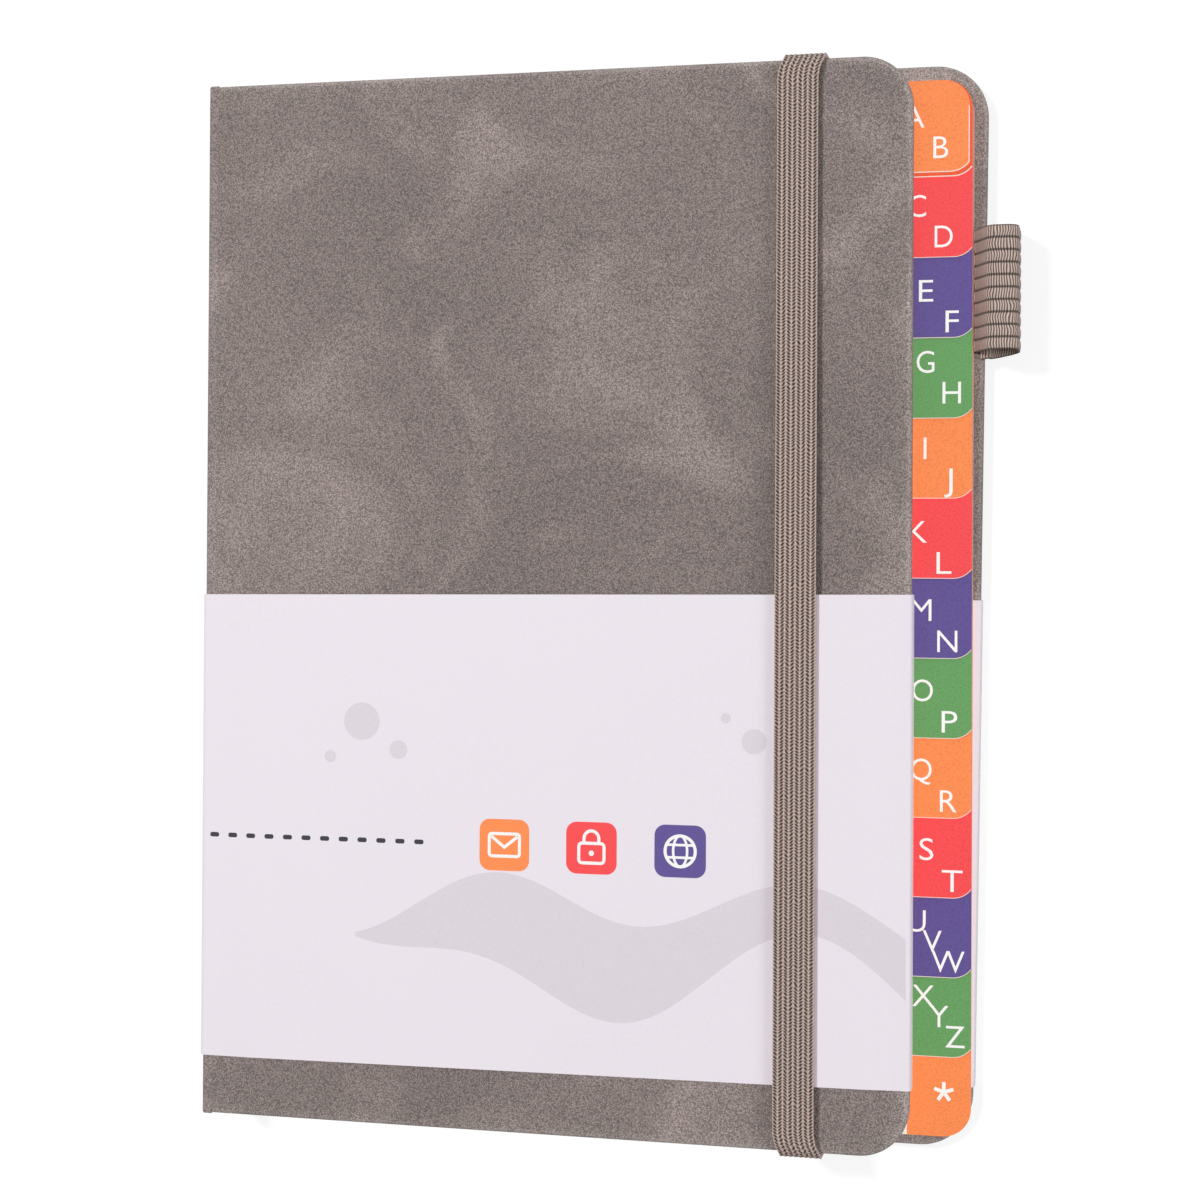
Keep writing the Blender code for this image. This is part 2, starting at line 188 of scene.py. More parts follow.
# Leather
SKIN = 0.45 * MM
OUTER_ROUND = 1.0 * MM
INNER_ROUND = 0.8 * MM
LEAST_ROUND = 0.4 * MM
TURN_IN = 13.5 * MM
FRONT_CORNER = 8.8 * MM
BACK_CORNER = 9.4 * MM
BACK_LEAN = 2.3 * MM
FOLD_ROUND = 0.8 * MM
FOLD_FLAT = 1.1 * MM
FOLD_REACH = 2.0 * MM
FOLD_WIDTH = 1.6 * MM
SPINE_ROUND = 0.6 * MM
SPINE_TURN_IN = 10.0 * MM
EDGE_STEPS = 20
ROUND_STEPS = 6
SPINE_STEPS = 5
BEND_STEPS = 8
FLAT_STEPS = 4
FOLD_ROWS = 24
FOLD_EDGE = 0.3 * MM
FOLD_EDGE_SHARE = 0.35
# Wear from 0 to 1, which on the turned-in leather also paints light and shade. A row on a cover's face has an inset and
# its wear, a rounded edge has the wear at its ends and how much more there is halfway, and corners multiply it
FACE_ROWS = ((5.0 * MM, 0.0), (1.8 * MM, 0.1))
OUTER_WEAR = (0.25, 0.75)
INNER_WEAR = (0.2, 0.6)
CORNER_WEAR = 1.25
# Turned-in leather: paler at the head, partly wear and partly painted light, and darker down the fore-edge and tail, as
# painted shade of the page block
TURN_IN_WEAR_AND_LIGHT = 0.7
FULL_HEAD_WEAR_AND_LIGHT_AT = 0.3
# Low wear along the fore-edge and tail of the turned-in leather, which paints the page block's shade there
FORE_EDGE_WEAR_AND_SHADE = 0.15
FOLD_WEAR = 0.2
SPINE_WEAR = 0.12
# Leather's colour and relief
CLOUD = 75 * MM
SMUDGE = 30 * MM
PEBBLE = 0.29 * MM
FIBRE = 0.18 * MM
LEATHER_RELIEF = 0.10 * MM
# Pleats of the turned-in leather: insets where they start, are full, fade and end, and insets of their rows
PLEATS = 22
PLEAT_DEPTH = 0.24 * MM
PLEAT_SPAN = (1.1 * MM, 2.1 * MM, 4.2 * MM, 5.2 * MM)
PLEAT_ROWS = (1.1 * MM, 1.5 * MM, 2.1 * MM, 2.8 * MM, 3.6 * MM, 4.4 * MM, 5.2 * MM)

# Paper band
BAND = 0.2 * MM
BAND_CLEAR = 0.3 * MM
BAND_BEND = 0.7 * MM
FLAP_BEND = 0.8 * BAND_BEND
BAND_FLAP = 45.0 * MM
BAND_LIFT = 0.35 * MM
BAND_HELD = 2 * MM
BAND_EASE = 9 * MM
BAND_ROWS = 12
EASE_STEPS = 18
PANEL_STEPS = 24
FLAP_STEPS = 6
BAND_SLOPE = 0.008

# Elastic
STRAP_RIBS = 8
STRAP_WIDTH = 7.1 * MM
STRAP_SHIFT = -0.33 * MM
STRAP_THICKNESS = 0.8 * MM
STRAP_RELIEF = 0.17 * MM
STRAP_BEND = 2.4 * MM
STRAP_STEPS = 110
LEG_STEPS = 6
STRAP_THREAD = 0.60 * MM
STRAP_SLANT = 1.0
STRAP_FLAT = 0.30
STRAP_LEAN = 1.1 * MM
STRAP_LEAN_START = 3.0 * MM
LOOP_RIBS = 10
LOOP_THICKNESS = 0.6 * MM
LOOP_RELIEF = 0.20 * MM
LOOP_CLEAR = 0.1 * MM
LOOP_FOOT = 1.0 * MM
LOOP_CORNER = 1.8 * MM
LOOP_TAIL = 3.6 * MM
LOOP_RISE = 65.0
LOOP_SLIP = 1.05 * MM
LOOP_END_BEND = 0.7 * MM
LOOP_RISE_START = TAB_EDGE - 0.3 * MM
LOOP_LOWER_END = TAB_EDGE + 1.1 * MM
LOOP_SLIP_START = TAB_EDGE + 0.7 * MM
LOOP_SLIP_LEVELS = (0.8 * MM, 0.3 * MM)
LOOP_STEPS = 12
LOOP_THREAD = 0.45 * MM
LOOP_SLANT = 0.5
RIB_STEPS = 8
RIB_FULLNESS = 0.6
FUZZ = 0.16 * MM
FUZZ_RELIEF = 0.04 * MM
THREAD_RELIEF = 0.09 * MM
THREAD_DRIFT = 2.6 * MM

# Tabs
TAB_COUNT = 13
FIRST_TAB = 16.8 * MM
TAB_CORNER = 4.0 * MM
TAB_CORNER_TURN = 53.0
TAB_STEPS = 10
CUT_LINE = 0.18 * MM
THIN_CUT_LINE = 0.11 * MM
LETTER_HEIGHT = 3.75 * MM
LETTER_DEPTH = 0.012 * MM
LETTER_WEIGHT = -0.005
LETTER_INSET = 2.8 * MM
# For two or three letters on a tab: height of the first above the tab's foot, and the step to the next
LETTER_STARTS = {2: 8.6 * MM, 3: 10.0 * MM}
LETTER_STEPS = {2: (4.5 * MM, -5.4 * MM), 3: (2.75 * MM, -3.45 * MM)}
FIRST_TAB_RISE = 1.1 * MM
STAR_SHIFT = (3.4 * MM, 0.8 * MM)
STAR_RADIUS = 1.75 * MM
STAR_STROKE = 0.62 * MM
ROUND_LETTERS = ("CDGOQ", 0.90)
NARROW_LETTERS = ("EFJLPST", 1.15)
TOP_CARD = 0.035 * MM
TOP_CARD_SIDE = 0.5 * MM
TOP_CARD_FOOT = 0.8 * MM
TOP_CARD_ROUND = 4.6 * MM
PRINT_GRAIN = 0.3 * MM
PRINT_DEEP = 0.74
PRINT_RELIEF = 0.015 * MM
TAB_LETTERS = ("AB", "CD", "EF", "GH", "IJ", "KL", "MN", "OP", "QR", "ST", "UVW", "XYZ", "*")
# The print sits a little differently on each tab: millimetres to the right and down
LETTER_SHIFTS = ((-2.0, -0.8), (-1.4, -0.4), (0.0, 0.4), (0.1, -1.2), (0.0, -0.1), (-1.4, 0.5),
                 (-0.6, 0.2), (-0.4, 0.3), (-0.6, 0.2), (0.3, 0.2), (-1.4, 0.3), (-0.2, -0.5), (0.0, 0.0))

# Print on the band
INK = 0.008 * MM
TILE = 9.2 * MM
TILE_ROUND = 1.9 * MM
SIGN_LINE = 0.55 * MM
THIN_SIGN_LINE = 0.8 * SIGN_LINE
CROSSING = 0.002 * MM
TILE_ROW = -43.5 * MM
TILE_PLACES = (58.0 * MM, 74.0 * MM, 90.0 * MM)
DASHES = 12
DASH_START = 2.4 * MM
DASH = (1.75 * MM, 0.85 * MM)
DASH_PITCH = 3.6 * MM
WAVE_START = 30 * MM
WAVE_TO_EDGE = 0.6 * MM
WAVE_ROW = -61 * MM
WAVE_SWING = 8.0 * MM
WAVE_LENGTH = 66 * MM
WAVE_DEPTH = 15.0 * MM
WAVE_STEPS = 160
# Millimetres from the spine, up from the book's middle, and radius
DOTS = ((31, -22, 3.4), (38, -27, 1.7), (25, -28.5, 1.1), (103, -24, 2.2), (98, -20, 0.9))

# Camera, as in the photograph
CAMERA_PLACE = (91.17 * MM, 7.02 * MM, 393.35 * MM)
CAMERA_TURNS = (("Y", 13.316), ("X", 0.591), ("Z", 0.320))
CAMERA_LENS = 65.99
CAMERA_SHIFT = -0.05

# Light; a lamp has a name, a place, a width in metres and watts
AMBIENT = 0.385
FLOOR_REACH = 3.0
FLOOR_GLOW = 0.82
FLOOR_GREY = (0.22, 0.22, 0.22, 1.0)
LAMPS = (
    ("key", (-0.95, 0.70, 1.62), 0.30, 24.0),
    ("side", (1.45, 0.0, 0.62), 0.70, 10.0),
)

# Pieces that stop none of the key's light: the front cover, the band, and the leaves with what is on them.
# So the tabs, and the back cover beside them, lie in no shade, as in the photograph
KEY_PASSES = ("front_", "band_", "pages_", "tab_", "cut_edge_", "letters_")

# Colours, linear
WHITE = (1.0, 1.0, 1.0, 1.0)
LEATHER_DARK = (0.197, 0.162, 0.151, 1.0)
LEATHER_LIGHT = (0.339, 0.278, 0.261, 1.0)
# Pale worn leather, which also paints light on the head's turned-in leather
LEATHER_WORN_AND_LIT = (0.440, 0.378, 0.355, 1.0)
ELASTIC_CREST = (0.710, 0.545, 0.480, 1.0)
# Dark of the elastic between threads and in its rib valleys: painted shade of the weave's gaps and hollows
ELASTIC_HOLLOW_SHADE = (0.040, 0.030, 0.025, 1.0)
CREAM = (0.87, 0.83, 0.74, 1.0)
CREAM_SHADE = (0.76, 0.70, 0.60, 1.0)
BAND_WHITE = (0.81, 0.755, 0.815, 1.0)
BAND_SHADE = (0.77, 0.714, 0.775, 1.0)
WAVE_TINT = (0.705, 0.645, 0.700, 1.0)
CARD_CUT = (0.90, 0.72, 0.66, 1.0)
BOARD_GREY = (0.30, 0.28, 0.26, 1.0)
BOARD_SHADE = (0.22, 0.20, 0.19, 1.0)
LINE_GREY = (0.30, 0.30, 0.33, 1.0)
INK_WHITE = (0.93, 0.92, 0.90, 1.0)
INK_NAVY = (0.030, 0.028, 0.045, 1.0)
TAB_COLOURS = {
    "tab_orange": (0.98, 0.268, 0.079, 1.0),
    "tab_red": (0.93, 0.072, 0.079, 1.0),
    "tab_purple": (0.111, 0.076, 0.279, 1.0),
    "tab_green": (0.130, 0.340, 0.112, 1.0),
}
UNDER_ORANGE = (0.86, 0.105, 0.028, 1.0)


class Finish:
    """A new material with short calls that add nodes to it."""

    def __init__(self, name, roughness, specular=0.3):
        self.material = bpy.data.materials.new(name)
        self.material.use_nodes = True
        self.tree = self.material.node_tree
        self.shader = self.tree.nodes["Principled BSDF"]
        self.set("Roughness", roughness)
        self.set("Specular IOR Level", specular)

    def put(self, socket, value):
        """Join a socket to a socket, or set a plain value on it."""
        if isinstance(value, bpy.types.NodeSocket):
            self.tree.links.new(value, socket)
        else:
            socket.default_value = value

    def set(self, name, value):
        self.put(self.shader.inputs[name], value)

    def node(self, kind, inputs, **settings):
        made = self.tree.nodes.new(kind)
        for key, value in settings.items():
            setattr(made, key, value)
        for key, value in inputs.items():
            self.put(made.inputs[key], value)
        return made

    def coords(self, kind="Object"):
        return self.node("ShaderNodeTexCoord", {}).outputs[kind]

    def axis(self, name, kind="Object"):
        split = self.node("ShaderNodeSeparateXYZ", {"Vector": self.coords(kind)})
        return split.outputs[name]

    def noise(self, size, detail=2.0, distortion=0.0):
        """Cloudy values from 0 to 1, with blobs about as wide as size in metres."""
        inputs = {"Vector": self.coords(), "Scale": 1.0 / size, "Detail": detail, "Distortion": distortion}
        return self.node("ShaderNodeTexNoise", inputs).outputs["Fac"]

    def cells(self, size):
        """Distance to the nearest of many scattered points, which lie about size apart in metres."""
        inputs = {"Vector": self.coords(), "Scale": 1.0 / size}
        return self.node("ShaderNodeTexVoronoi", inputs, feature="SMOOTH_F1").outputs["Distance"]

    def attribute(self, name):
        return self.node("ShaderNodeAttribute", {}, attribute_name=name).outputs["Fac"]

    def math(self, operation, first, second=0.0):
        return self.node("ShaderNodeMath", {0: first, 1: second}, operation=operation).outputs["Value"]

    def ramp(self, value, low, high, start=0.0, end=1.0):
        """Spread value between low and high over start to end, clamped."""
        inputs = {"Value": value, "From Min": low, "From Max": high, "To Min": start, "To Max": end}
        return self.node("ShaderNodeMapRange", inputs, interpolation_type="SMOOTHSTEP").outputs["Result"]

    def mix(self, share, first, second):
        made = self.node("ShaderNodeMix", {0: share, 6: first, 7: second}, data_type="RGBA")
        return made.outputs[2]

    def bump(self, height, depth, under=None):
        """Relief of the given depth in metres, over another relief if one is given."""
        made = self.node("ShaderNodeBump", {"Height": height, "Distance": depth, "Strength": 1.0})
        if under is not None:
            self.put(made.inputs["Normal"], under)
        return made.outputs["Normal"]


def leather_finish():
    """Matte faux leather: grey taupe with pale rubbed smudges, fine pebbles, paler where edges rub, and painted light
    and shade on the turned-in leather.
    """
    made = Finish("leather", 0.62, 0.25)
    broad = made.noise(CLOUD, 2.0, 0.5)
    smudges = made.noise(SMUDGE, 4.0, 1.1)
    pale = made.ramp(smudges, 0.47, 0.72, 0.0, 0.60)
    share = made.math("ADD", made.ramp(broad, 0.32, 0.68, 0.12, 0.42), pale)
    base = made.mix(share, LEATHER_DARK, LEATHER_LIGHT)
    # The attribute pales the leather where edges rub and where light is painted, and leaves it dark where shade is
    # painted
    rubbed_and_painted_light = made.math("MULTIPLY", made.attribute("wear"), made.ramp(smudges, 0.35, 0.6, 0.35, 0.9))
    worn_and_painted_colour = made.mix(rubbed_and_painted_light, base, LEATHER_WORN_AND_LIT)
    pebbles = made.cells(PEBBLE)
    fibres = made.noise(FIBRE, 2.0)
    speckle = made.math("SUBTRACT", made.math("MULTIPLY", fibres, 1.3), made.math("MULTIPLY", pebbles, 0.5))
    made.set("Base Color", made.node("ShaderNodeHueSaturation", {
        "Color": worn_and_painted_colour, "Value": made.ramp(speckle, 0.22, 0.74, 0.50, 1.52)}).outputs["Color"])
    made.set("Roughness", made.ramp(fibres, 0.3, 0.7, 0.56, 0.72))
    coarse = made.bump(pebbles, -LEATHER_RELIEF)
    made.set("Normal", made.bump(fibres, LEATHER_RELIEF, coarse))
    return made.material


def elastic_finish(name, crest_span, crest_gap, flank_span):
    """Woven elastic: pale threads along each rib, and slanting threads beside it, dark between the threads and down in
    the rib valleys as painted shade of the weave's gaps and hollows.

    The spans say at which heights of a rib its crest and its flanks come in, the flanks with their shades
    too, and crest_gap is the shade between two threads on a crest.
    """
    made = Finish(name, 0.78, 0.2)
    fuzz = made.noise(FUZZ, 2.0)
    drift = made.ramp(made.noise(THREAD_DRIFT, 1.0), 0.3, 0.7, 0.0, 0.6)
    place = made.math("FRACT", made.math("ADD", made.attribute("thread"), drift))
    thread = made.ramp(made.math("ABSOLUTE", made.math("SUBTRACT", place, 0.5)), 0.12, 0.34)
    crest = made.ramp(made.attribute("rib"), *crest_span)
    flank = made.ramp(made.attribute("rib"), *flank_span)
    bright = made.math("MULTIPLY", crest, made.ramp(thread, 0.0, 1.0, crest_gap, 1.0))
    shade = made.math("MAXIMUM", bright, made.math("MULTIPLY", flank, thread))
    uneven = made.math("MULTIPLY", shade, made.ramp(fuzz, 0.2, 0.75, 0.75, 1.0))
    made.set("Base Color", made.mix(uneven, ELASTIC_HOLLOW_SHADE, ELASTIC_CREST))
    made.set("Normal", made.bump(fuzz, FUZZ_RELIEF, made.bump(thread, THREAD_RELIEF)))
    made.set("Sheen Weight", 0.15)
    return made.material


def paper_finish(name, colour, shade, roughness=0.7, fibre=0.35 * MM, relief=0.02 * MM, cloud=24 * MM):
    """Uncoated paper with faint fibres and a little unevenness."""
    made = Finish(name, roughness, 0.22)
    fibres = made.noise(fibre, 3.0)
    patches = made.noise(cloud, 2.0)
    mottle = made.math("MULTIPLY", made.ramp(fibres, 0.35, 0.75), made.ramp(patches, 0.3, 0.8, 0.15, 0.6))
    made.set("Base Color", made.mix(mottle, colour, shade))
    made.set("Normal", made.bump(fibres, relief))
    return made


def ruled_finish(name, line_colour, pitch=7.0 * MM, line=0.28 * MM, margin=9.0 * MM):
    """Cream paper ruled with thin grey lines, and plain at the margins and the cut edges."""
    made = paper_finish(name, CREAM, CREAM_SHADE)
    plain = made.shader.inputs["Base Color"].links[0].from_socket
    up = made.math("ADD", made.axis("Y"), HALF_HEIGHT)
    place = made.math("FRACT", made.math("MULTIPLY", up, 1.0 / pitch))
    on_line = made.math("LESS_THAN", place, line / pitch)
    along = made.axis("X")
    inner = made.math("GREATER_THAN", along, SPINE_FACE + margin)
    outer = made.math("LESS_THAN", along, PAGE_EDGE - margin)
    short = made.math("LESS_THAN", made.math("ABSOLUTE", made.axis("Y")), HALF_HEIGHT - 2 * margin)
    flat = made.math("GREATER_THAN", made.math("ABSOLUTE", made.axis("Z", "Normal")), 0.5)
    shown = on_line
    for limit in (inner, outer, short, flat):
        shown = made.math("MULTIPLY", shown, limit)
    made.set("Base Color", made.mix(made.math("MULTIPLY", shown, 0.5), plain, line_colour))
    return made.material


def tab_finish(name, colour):
    """Tab card: printed colour on the strip beside the pages, cream inside, pale at the cut edges."""
    made = Finish(name, 0.55, 0.3)
    grain = made.noise(PRINT_GRAIN, 3.0)
    deep = tuple(channel * PRINT_DEEP for channel in colour[:3]) + (1.0,)
    printed = made.mix(made.ramp(grain, 0.42, 0.72, 0.0, 0.8), colour, deep)
    inside = made.mix(made.ramp(grain, 0.35, 0.75, 0.0, 0.4), CREAM, CREAM_SHADE)
    strip = made.math("GREATER_THAN", made.axis("X"), TAB_ROOT)
    face = made.mix(strip, inside, printed)
    cut = made.math("LESS_THAN", made.math("ABSOLUTE", made.axis("Z", "Normal")), 0.4)
    made.set("Base Color", made.mix(made.math("MULTIPLY", cut, 0.75), face, CARD_CUT))
    made.set("Normal", made.bump(grain, PRINT_RELIEF))
    return made.material


def ink_finish(name, colour, roughness=0.5):
    """Printed ink: a little uneven, as it sits on paper fibres."""
    made = Finish(name, roughness, 0.3)
    grain = made.noise(PRINT_GRAIN, 2.0)
    thin = tuple(0.86 * channel + 0.03 for channel in colour[:3]) + (1.0,)
    made.set("Base Color", made.mix(made.ramp(grain, 0.45, 0.8, 0.0, 0.7), colour, thin))
    return made.material


LEATHER = leather_finish()
ELASTIC = elastic_finish("elastic", crest_span=(0.80, 0.98), crest_gap=0.68,
                         flank_span=(0.0, 0.60, 0.22, 0.66))
LOOP_ELASTIC = elastic_finish("loop_elastic", crest_span=(0.25, 0.62), crest_gap=0.15,
                              flank_span=(0.0, 0.30, 0.14, 0.34))
CREAM_PAPER = paper_finish("cream_paper", CREAM, CREAM_SHADE).material
RULED_PAPER = ruled_finish("ruled_paper", LINE_GREY)
BAND_PAPER = paper_finish("band_paper", BAND_WHITE, BAND_SHADE, 0.5, 0.6 * MM, 0.012 * MM).material
GREY_BOARD = paper_finish("grey_board", BOARD_GREY, BOARD_SHADE, 0.85, 0.5 * MM).material
TAB_CARD = {slot: tab_finish(slot, colour) for slot, colour in TAB_COLOURS.items()}
UNDER_CARD = tab_finish("tab_under_orange", UNDER_ORANGE)
WHITE_INK = ink_finish("white_ink", INK_WHITE)
NAVY_INK = ink_finish("navy_ink", INK_NAVY)
WAVE_INK = ink_finish("wave_ink", WAVE_TINT)
CUT_INK = ink_finish("cut_card", CARD_CUT, 0.8)
TILE_INK = {slot: ink_finish(slot + "_ink", colour) for slot, colour in TAB_COLOURS.items()}


def add_object(name, data):
    """A new object in the scene."""
    made = bpy.data.objects.new(name, data)
    bpy.context.scene.collection.objects.link(made)
    return made


def add_mesh(name, vertices, faces, material, values=None, smooth_below=38.0):
    """Mesh object with outward normals, smooth but for its sharp edges, with named values at its points."""
    mesh = bpy.data.meshes.new(name)
    mesh.from_pydata([tuple(point) for point in vertices], [], faces)
    shape = bmesh.new()
    shape.from_mesh(mesh)
    bmesh.ops.recalc_face_normals(shape, faces=shape.faces)
    shape.to_mesh(mesh)
    shape.free()
    mesh.materials.append(material)
    mesh.shade_smooth()
    mesh.set_sharp_from_angle(angle=math.radians(smooth_below))
    for key, numbers in (values or {}).items():
        mesh.attributes.new(key, "FLOAT", "POINT").data.foreach_set("value", numbers)
    return add_object(name, mesh)


def strip_faces(rows, count, closed):
    """Faces between rows of count points, round to the first point if closed, and one over each end row."""
    faces = []
    for row in range(rows - 1):
        for column in range(count if closed else count - 1):
            following = (column + 1) % count
            faces.append((row * count + column, row * count + following,
                          (row + 1) * count + following, (row + 1) * count + column))
    last = (rows - 1) * count
    return faces + [tuple(reversed(range(count))), tuple(range(last, last + count))]


def loft(rings):
    """Vertices and faces of a closed body through rings of equally many points."""
    return [point for ring in rings for point in ring], strip_faces(len(rings), len(rings[0]), True)


def arc(centre, radius, start, end, steps):
    """Points on an arc, from one angle to another in degrees, both ends among them."""
    turns = [math.radians(start + (end - start) * step / steps) for step in range(steps + 1)]
    return [(centre[0] + radius * math.cos(turn), centre[1] + radius * math.sin(turn)) for turn in turns]


def between(start, end, steps):
    """Evenly spaced values, both ends among them."""
    return [start + (end - start) * step / steps for step in range(steps + 1)]


def smooth(value, start, end):
    """From 0 at start to 1 at end, easing in and out."""
    share = min(1.0, max(0.0, (value - start) / (end - start)))
    return share * share * (3 - 2 * share)


def leaned(x, y, lean):
    """A cover that leans is narrower towards its tail, in proportion to the distance from the spine."""
    width = BACK_HIGH.x - SPINE_FACE
    share = (HALF_HEIGHT - y) / (2 * HALF_HEIGHT)
    return x - lean * share * (x - SPINE_FACE) / width


def free_edges(fore_edge, lean, corner, inset):
    """A cover's head, fore-edge and tail at an inset: points with the share of a corner's turn, or None."""
    radius = max(corner - inset, LEAST_ROUND)
    right = fore_edge - inset
    high = HALF_HEIGHT - inset
    corner_steps = 4 * PLEATS
    head = [(x, high, None) for x in between(COVER_START, right - radius, EDGE_STEPS)[:-1]]
    turn = arc((right - radius, high - radius), radius, 90.0, 0.0, corner_steps)
    head += [(x, y, step / corner_steps) for step, (x, y) in enumerate(turn)]
    side = [(right, y, None) for y in between(high - radius, radius - high, 2 * EDGE_STEPS)[1:-1]]
    tail = [(x, -y, share) for x, y, share in reversed(head)]
    return [(leaned(x, y, lean), y, share) for x, y, share in head + side + tail]


def cover_profile():
    """Steps from a cover's face round its edge to the turned-in leather and inside: inset, depth, and wear, which on
    the turned-in rows is also painted light.
    """
    deep = COVER_THICKNESS
    angles = [math.radians(turn) for turn in between(0.0, 90.0, ROUND_STEPS)]
    steps = [(inset, 0.0, wear) for inset, wear in FACE_ROWS]
    least, more = OUTER_WEAR
    for angle in angles:
        steps.append((OUTER_ROUND * (1 - math.sin(angle)), OUTER_ROUND * (1 - math.cos(angle)),
                      least + more * math.sin(2 * angle)))
    least, more = INNER_WEAR
    for angle in angles:
        steps.append((INNER_ROUND * (1 - math.cos(angle)), deep - INNER_ROUND * (1 - math.sin(angle)),
                      least + more * math.sin(2 * angle)))
    steps += [(inset, deep, TURN_IN_WEAR_AND_LIGHT) for inset in PLEAT_ROWS + (TURN_IN,)]
    steps += [(TURN_IN, deep - SKIN, 0.0), (SKIN, deep - SKIN, 0.0), (SKIN, SKIN, 0.0)]
    return steps


def pleat(inset, share):
    """How deep the small folds are where the turned-in leather gathers round a corner."""
    start, full, fade, end = PLEAT_SPAN
    spread = smooth(inset, start, full) * smooth(inset, end, fade)
    spread *= math.sin(math.pi * share) ** 2
    return PLEAT_DEPTH * spread * (0.5 - 0.5 * math.cos(2 * math.pi * PLEATS * share))


def near_head(y, corner):
    """1 at a cover's head, easing to 0 at the lower end of its corner."""
    return smooth(y, HALF_HEIGHT - corner, HALF_HEIGHT - FULL_HEAD_WEAR_AND_LIGHT_AT * corner)


def cover_leather(name, face, inwards, fore_edge, lean, corner):
    """The leather over one cover: its face, its rounded edges and what is turned in over the board."""
    rings = []
    wear = []
    for inset, depth, profile_wear_and_light in cover_profile():
        turned_in = depth == COVER_THICKNESS and inset > INNER_ROUND
        ring = []
        for x, y, share in free_edges(fore_edge, lean, corner, inset):
            sunk = pleat(inset, share) if turned_in and share is not None else 0.0
            ring.append((x, y, face + inwards * (depth - sunk)))
            rubbed_and_painted_light = profile_wear_and_light
            # Turned-in leather: paler at the head as wear and painted light, darker down the fore-edge and tail as
            # painted shade of the page block
            if turned_in:
                rubbed_and_painted_light = FORE_EDGE_WEAR_AND_SHADE + (profile_wear_and_light - FORE_EDGE_WEAR_AND_SHADE) * near_head(y, corner)
            # Corners rub more; on the turned-in leather the wear falls with a pleat's depth, as painted shade in its
            # grooves, and the crests stay pale as painted glints
            if share is not None:
                rubbed_and_painted_light = max(0.0, min(1.0, CORNER_WEAR * rubbed_and_painted_light) - sunk / PLEAT_DEPTH)
            wear.append(rubbed_and_painted_light)
        rings.append(ring)
    count = len(rings[0])
    vertices = [point for ring in rings for point in ring]
    faces = strip_faces(len(rings), count, False)
    head_ends = [row * count for row in range(len(rings))]
    tail_ends = [end + count - 1 for end in head_ends]
    faces.append(tuple(head_ends + tail_ends[::-1]))
    return add_mesh(name, vertices, faces, LEATHER, {"wear": wear})


def ribbon(name, line, thickness, rows, material, lean=0.0, values=None, slope=0.0):
    """A sheet along an x-z line, its outer side on the line and its inner side to the right.

    Each row has a y and the share of the full thickness there.
    """
    points = [Vector(point) for point in line]
    normals = []
    for before, after in zip(points[:1] + points, points[1:] + points[-1:]):
        along = (after - before).normalized()
        normals.append(Vector((along.y, -along.x)))
    rings = []
    for y, share in rows:
        outer_in = thickness * (1 - share) / 2
        inner_in = thickness - outer_in
        outer = [point + normal * outer_in for point, normal in zip(points, normals)]
        inner = [point + normal * inner_in for point, normal in zip(points, normals)]
        ring = outer + inner[::-1]
        rings.append([(leaned(x, y, lean), y + slope * (x - COVER_START), z) for x, z in ring])
    vertices, faces = loft(rings)
    shown = {key: [value] * len(vertices) for key, value in (values or {}).items()}
    return add_mesh(name, vertices, faces, material, shown)


def sheet_rows(low, high, steps, edge=0.0, edge_share=1.0):
    """Rows for a ribbon, thinner within edge of its two ends."""
    if edge == 0.0:
        return [(y, 1.0) for y in between(low, high, steps)]
    inner = [(y, 1.0) for y in between(low + edge, high - edge, steps)]
    soft = (1 + edge_share) / 2
    start = [(low, edge_share), (low + edge / 3, soft)]
    end = [(high - edge / 3, soft), (high, edge_share)]
    return start + inner + end


def fold_line(face, inwards):
    """The fold's outer side as an x-z line, from spine to front cover or from back cover to spine."""
    centre = (SPINE_FACE + FOLD_ROUND, face + inwards * FOLD_ROUND)
    line = [(SPINE_FACE, face + inwards * FOLD_REACH)]
    line += arc(centre, FOLD_ROUND, 180.0, 180.0 + inwards * 90.0, BEND_STEPS)
    line += [(x, face) for x in between(SPINE_FACE + FOLD_FLAT, COVER_START, FLAT_STEPS)]
    return line if inwards < 0 else line[::-1]


def bend_at_fold(piece, cover):
    """The piece follows the spine at its corner and the cover from the end of the fold on."""
    bodies = ("spine", cover) if cover == "front_cover" else (cover, "spine")
    ends = [(SPINE_FACE, 0.0, 0.0), (SPINE_FACE + FOLD_WIDTH, 0.0, 0.0)]
    if cover == "back_cover":
        ends.reverse()
    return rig.blend(piece, *bodies, start=ends[0], end=ends[1])


def spine_leather():
    """The leather over the spine, with its ends turned in at head and tail."""
    deep = SPINE_INSIDE - SPINE_FACE
    edge = SPINE_ROUND
    end = HALF_HEIGHT
    inner = end - SPINE_TURN_IN
    half = [(end - edge, 0.0)]
    half += arc((end - edge, edge), edge, 270.0, 360.0, SPINE_STEPS)[1:]
    half += arc((end - edge, deep - edge), edge, 0.0, 90.0, SPINE_STEPS)
    half += [(inner, deep), (inner, deep - SKIN), (end - SKIN, deep - SKIN), (end - SKIN, SKIN)]
    outline = half + [(-y, depth) for y, depth in reversed(half)]
    levels = between(BACK_LOW.z + FOLD_REACH, FRONT_HIGH.z - FOLD_REACH, FLAT_STEPS)
    rings = [[(SPINE_FACE + depth, y, z) for y, depth in outline] for z in levels]
    vertices, faces = loft(rings)
    return add_mesh("spine_leather", vertices, faces, LEATHER, {"wear": [SPINE_WEAR] * len(vertices)})


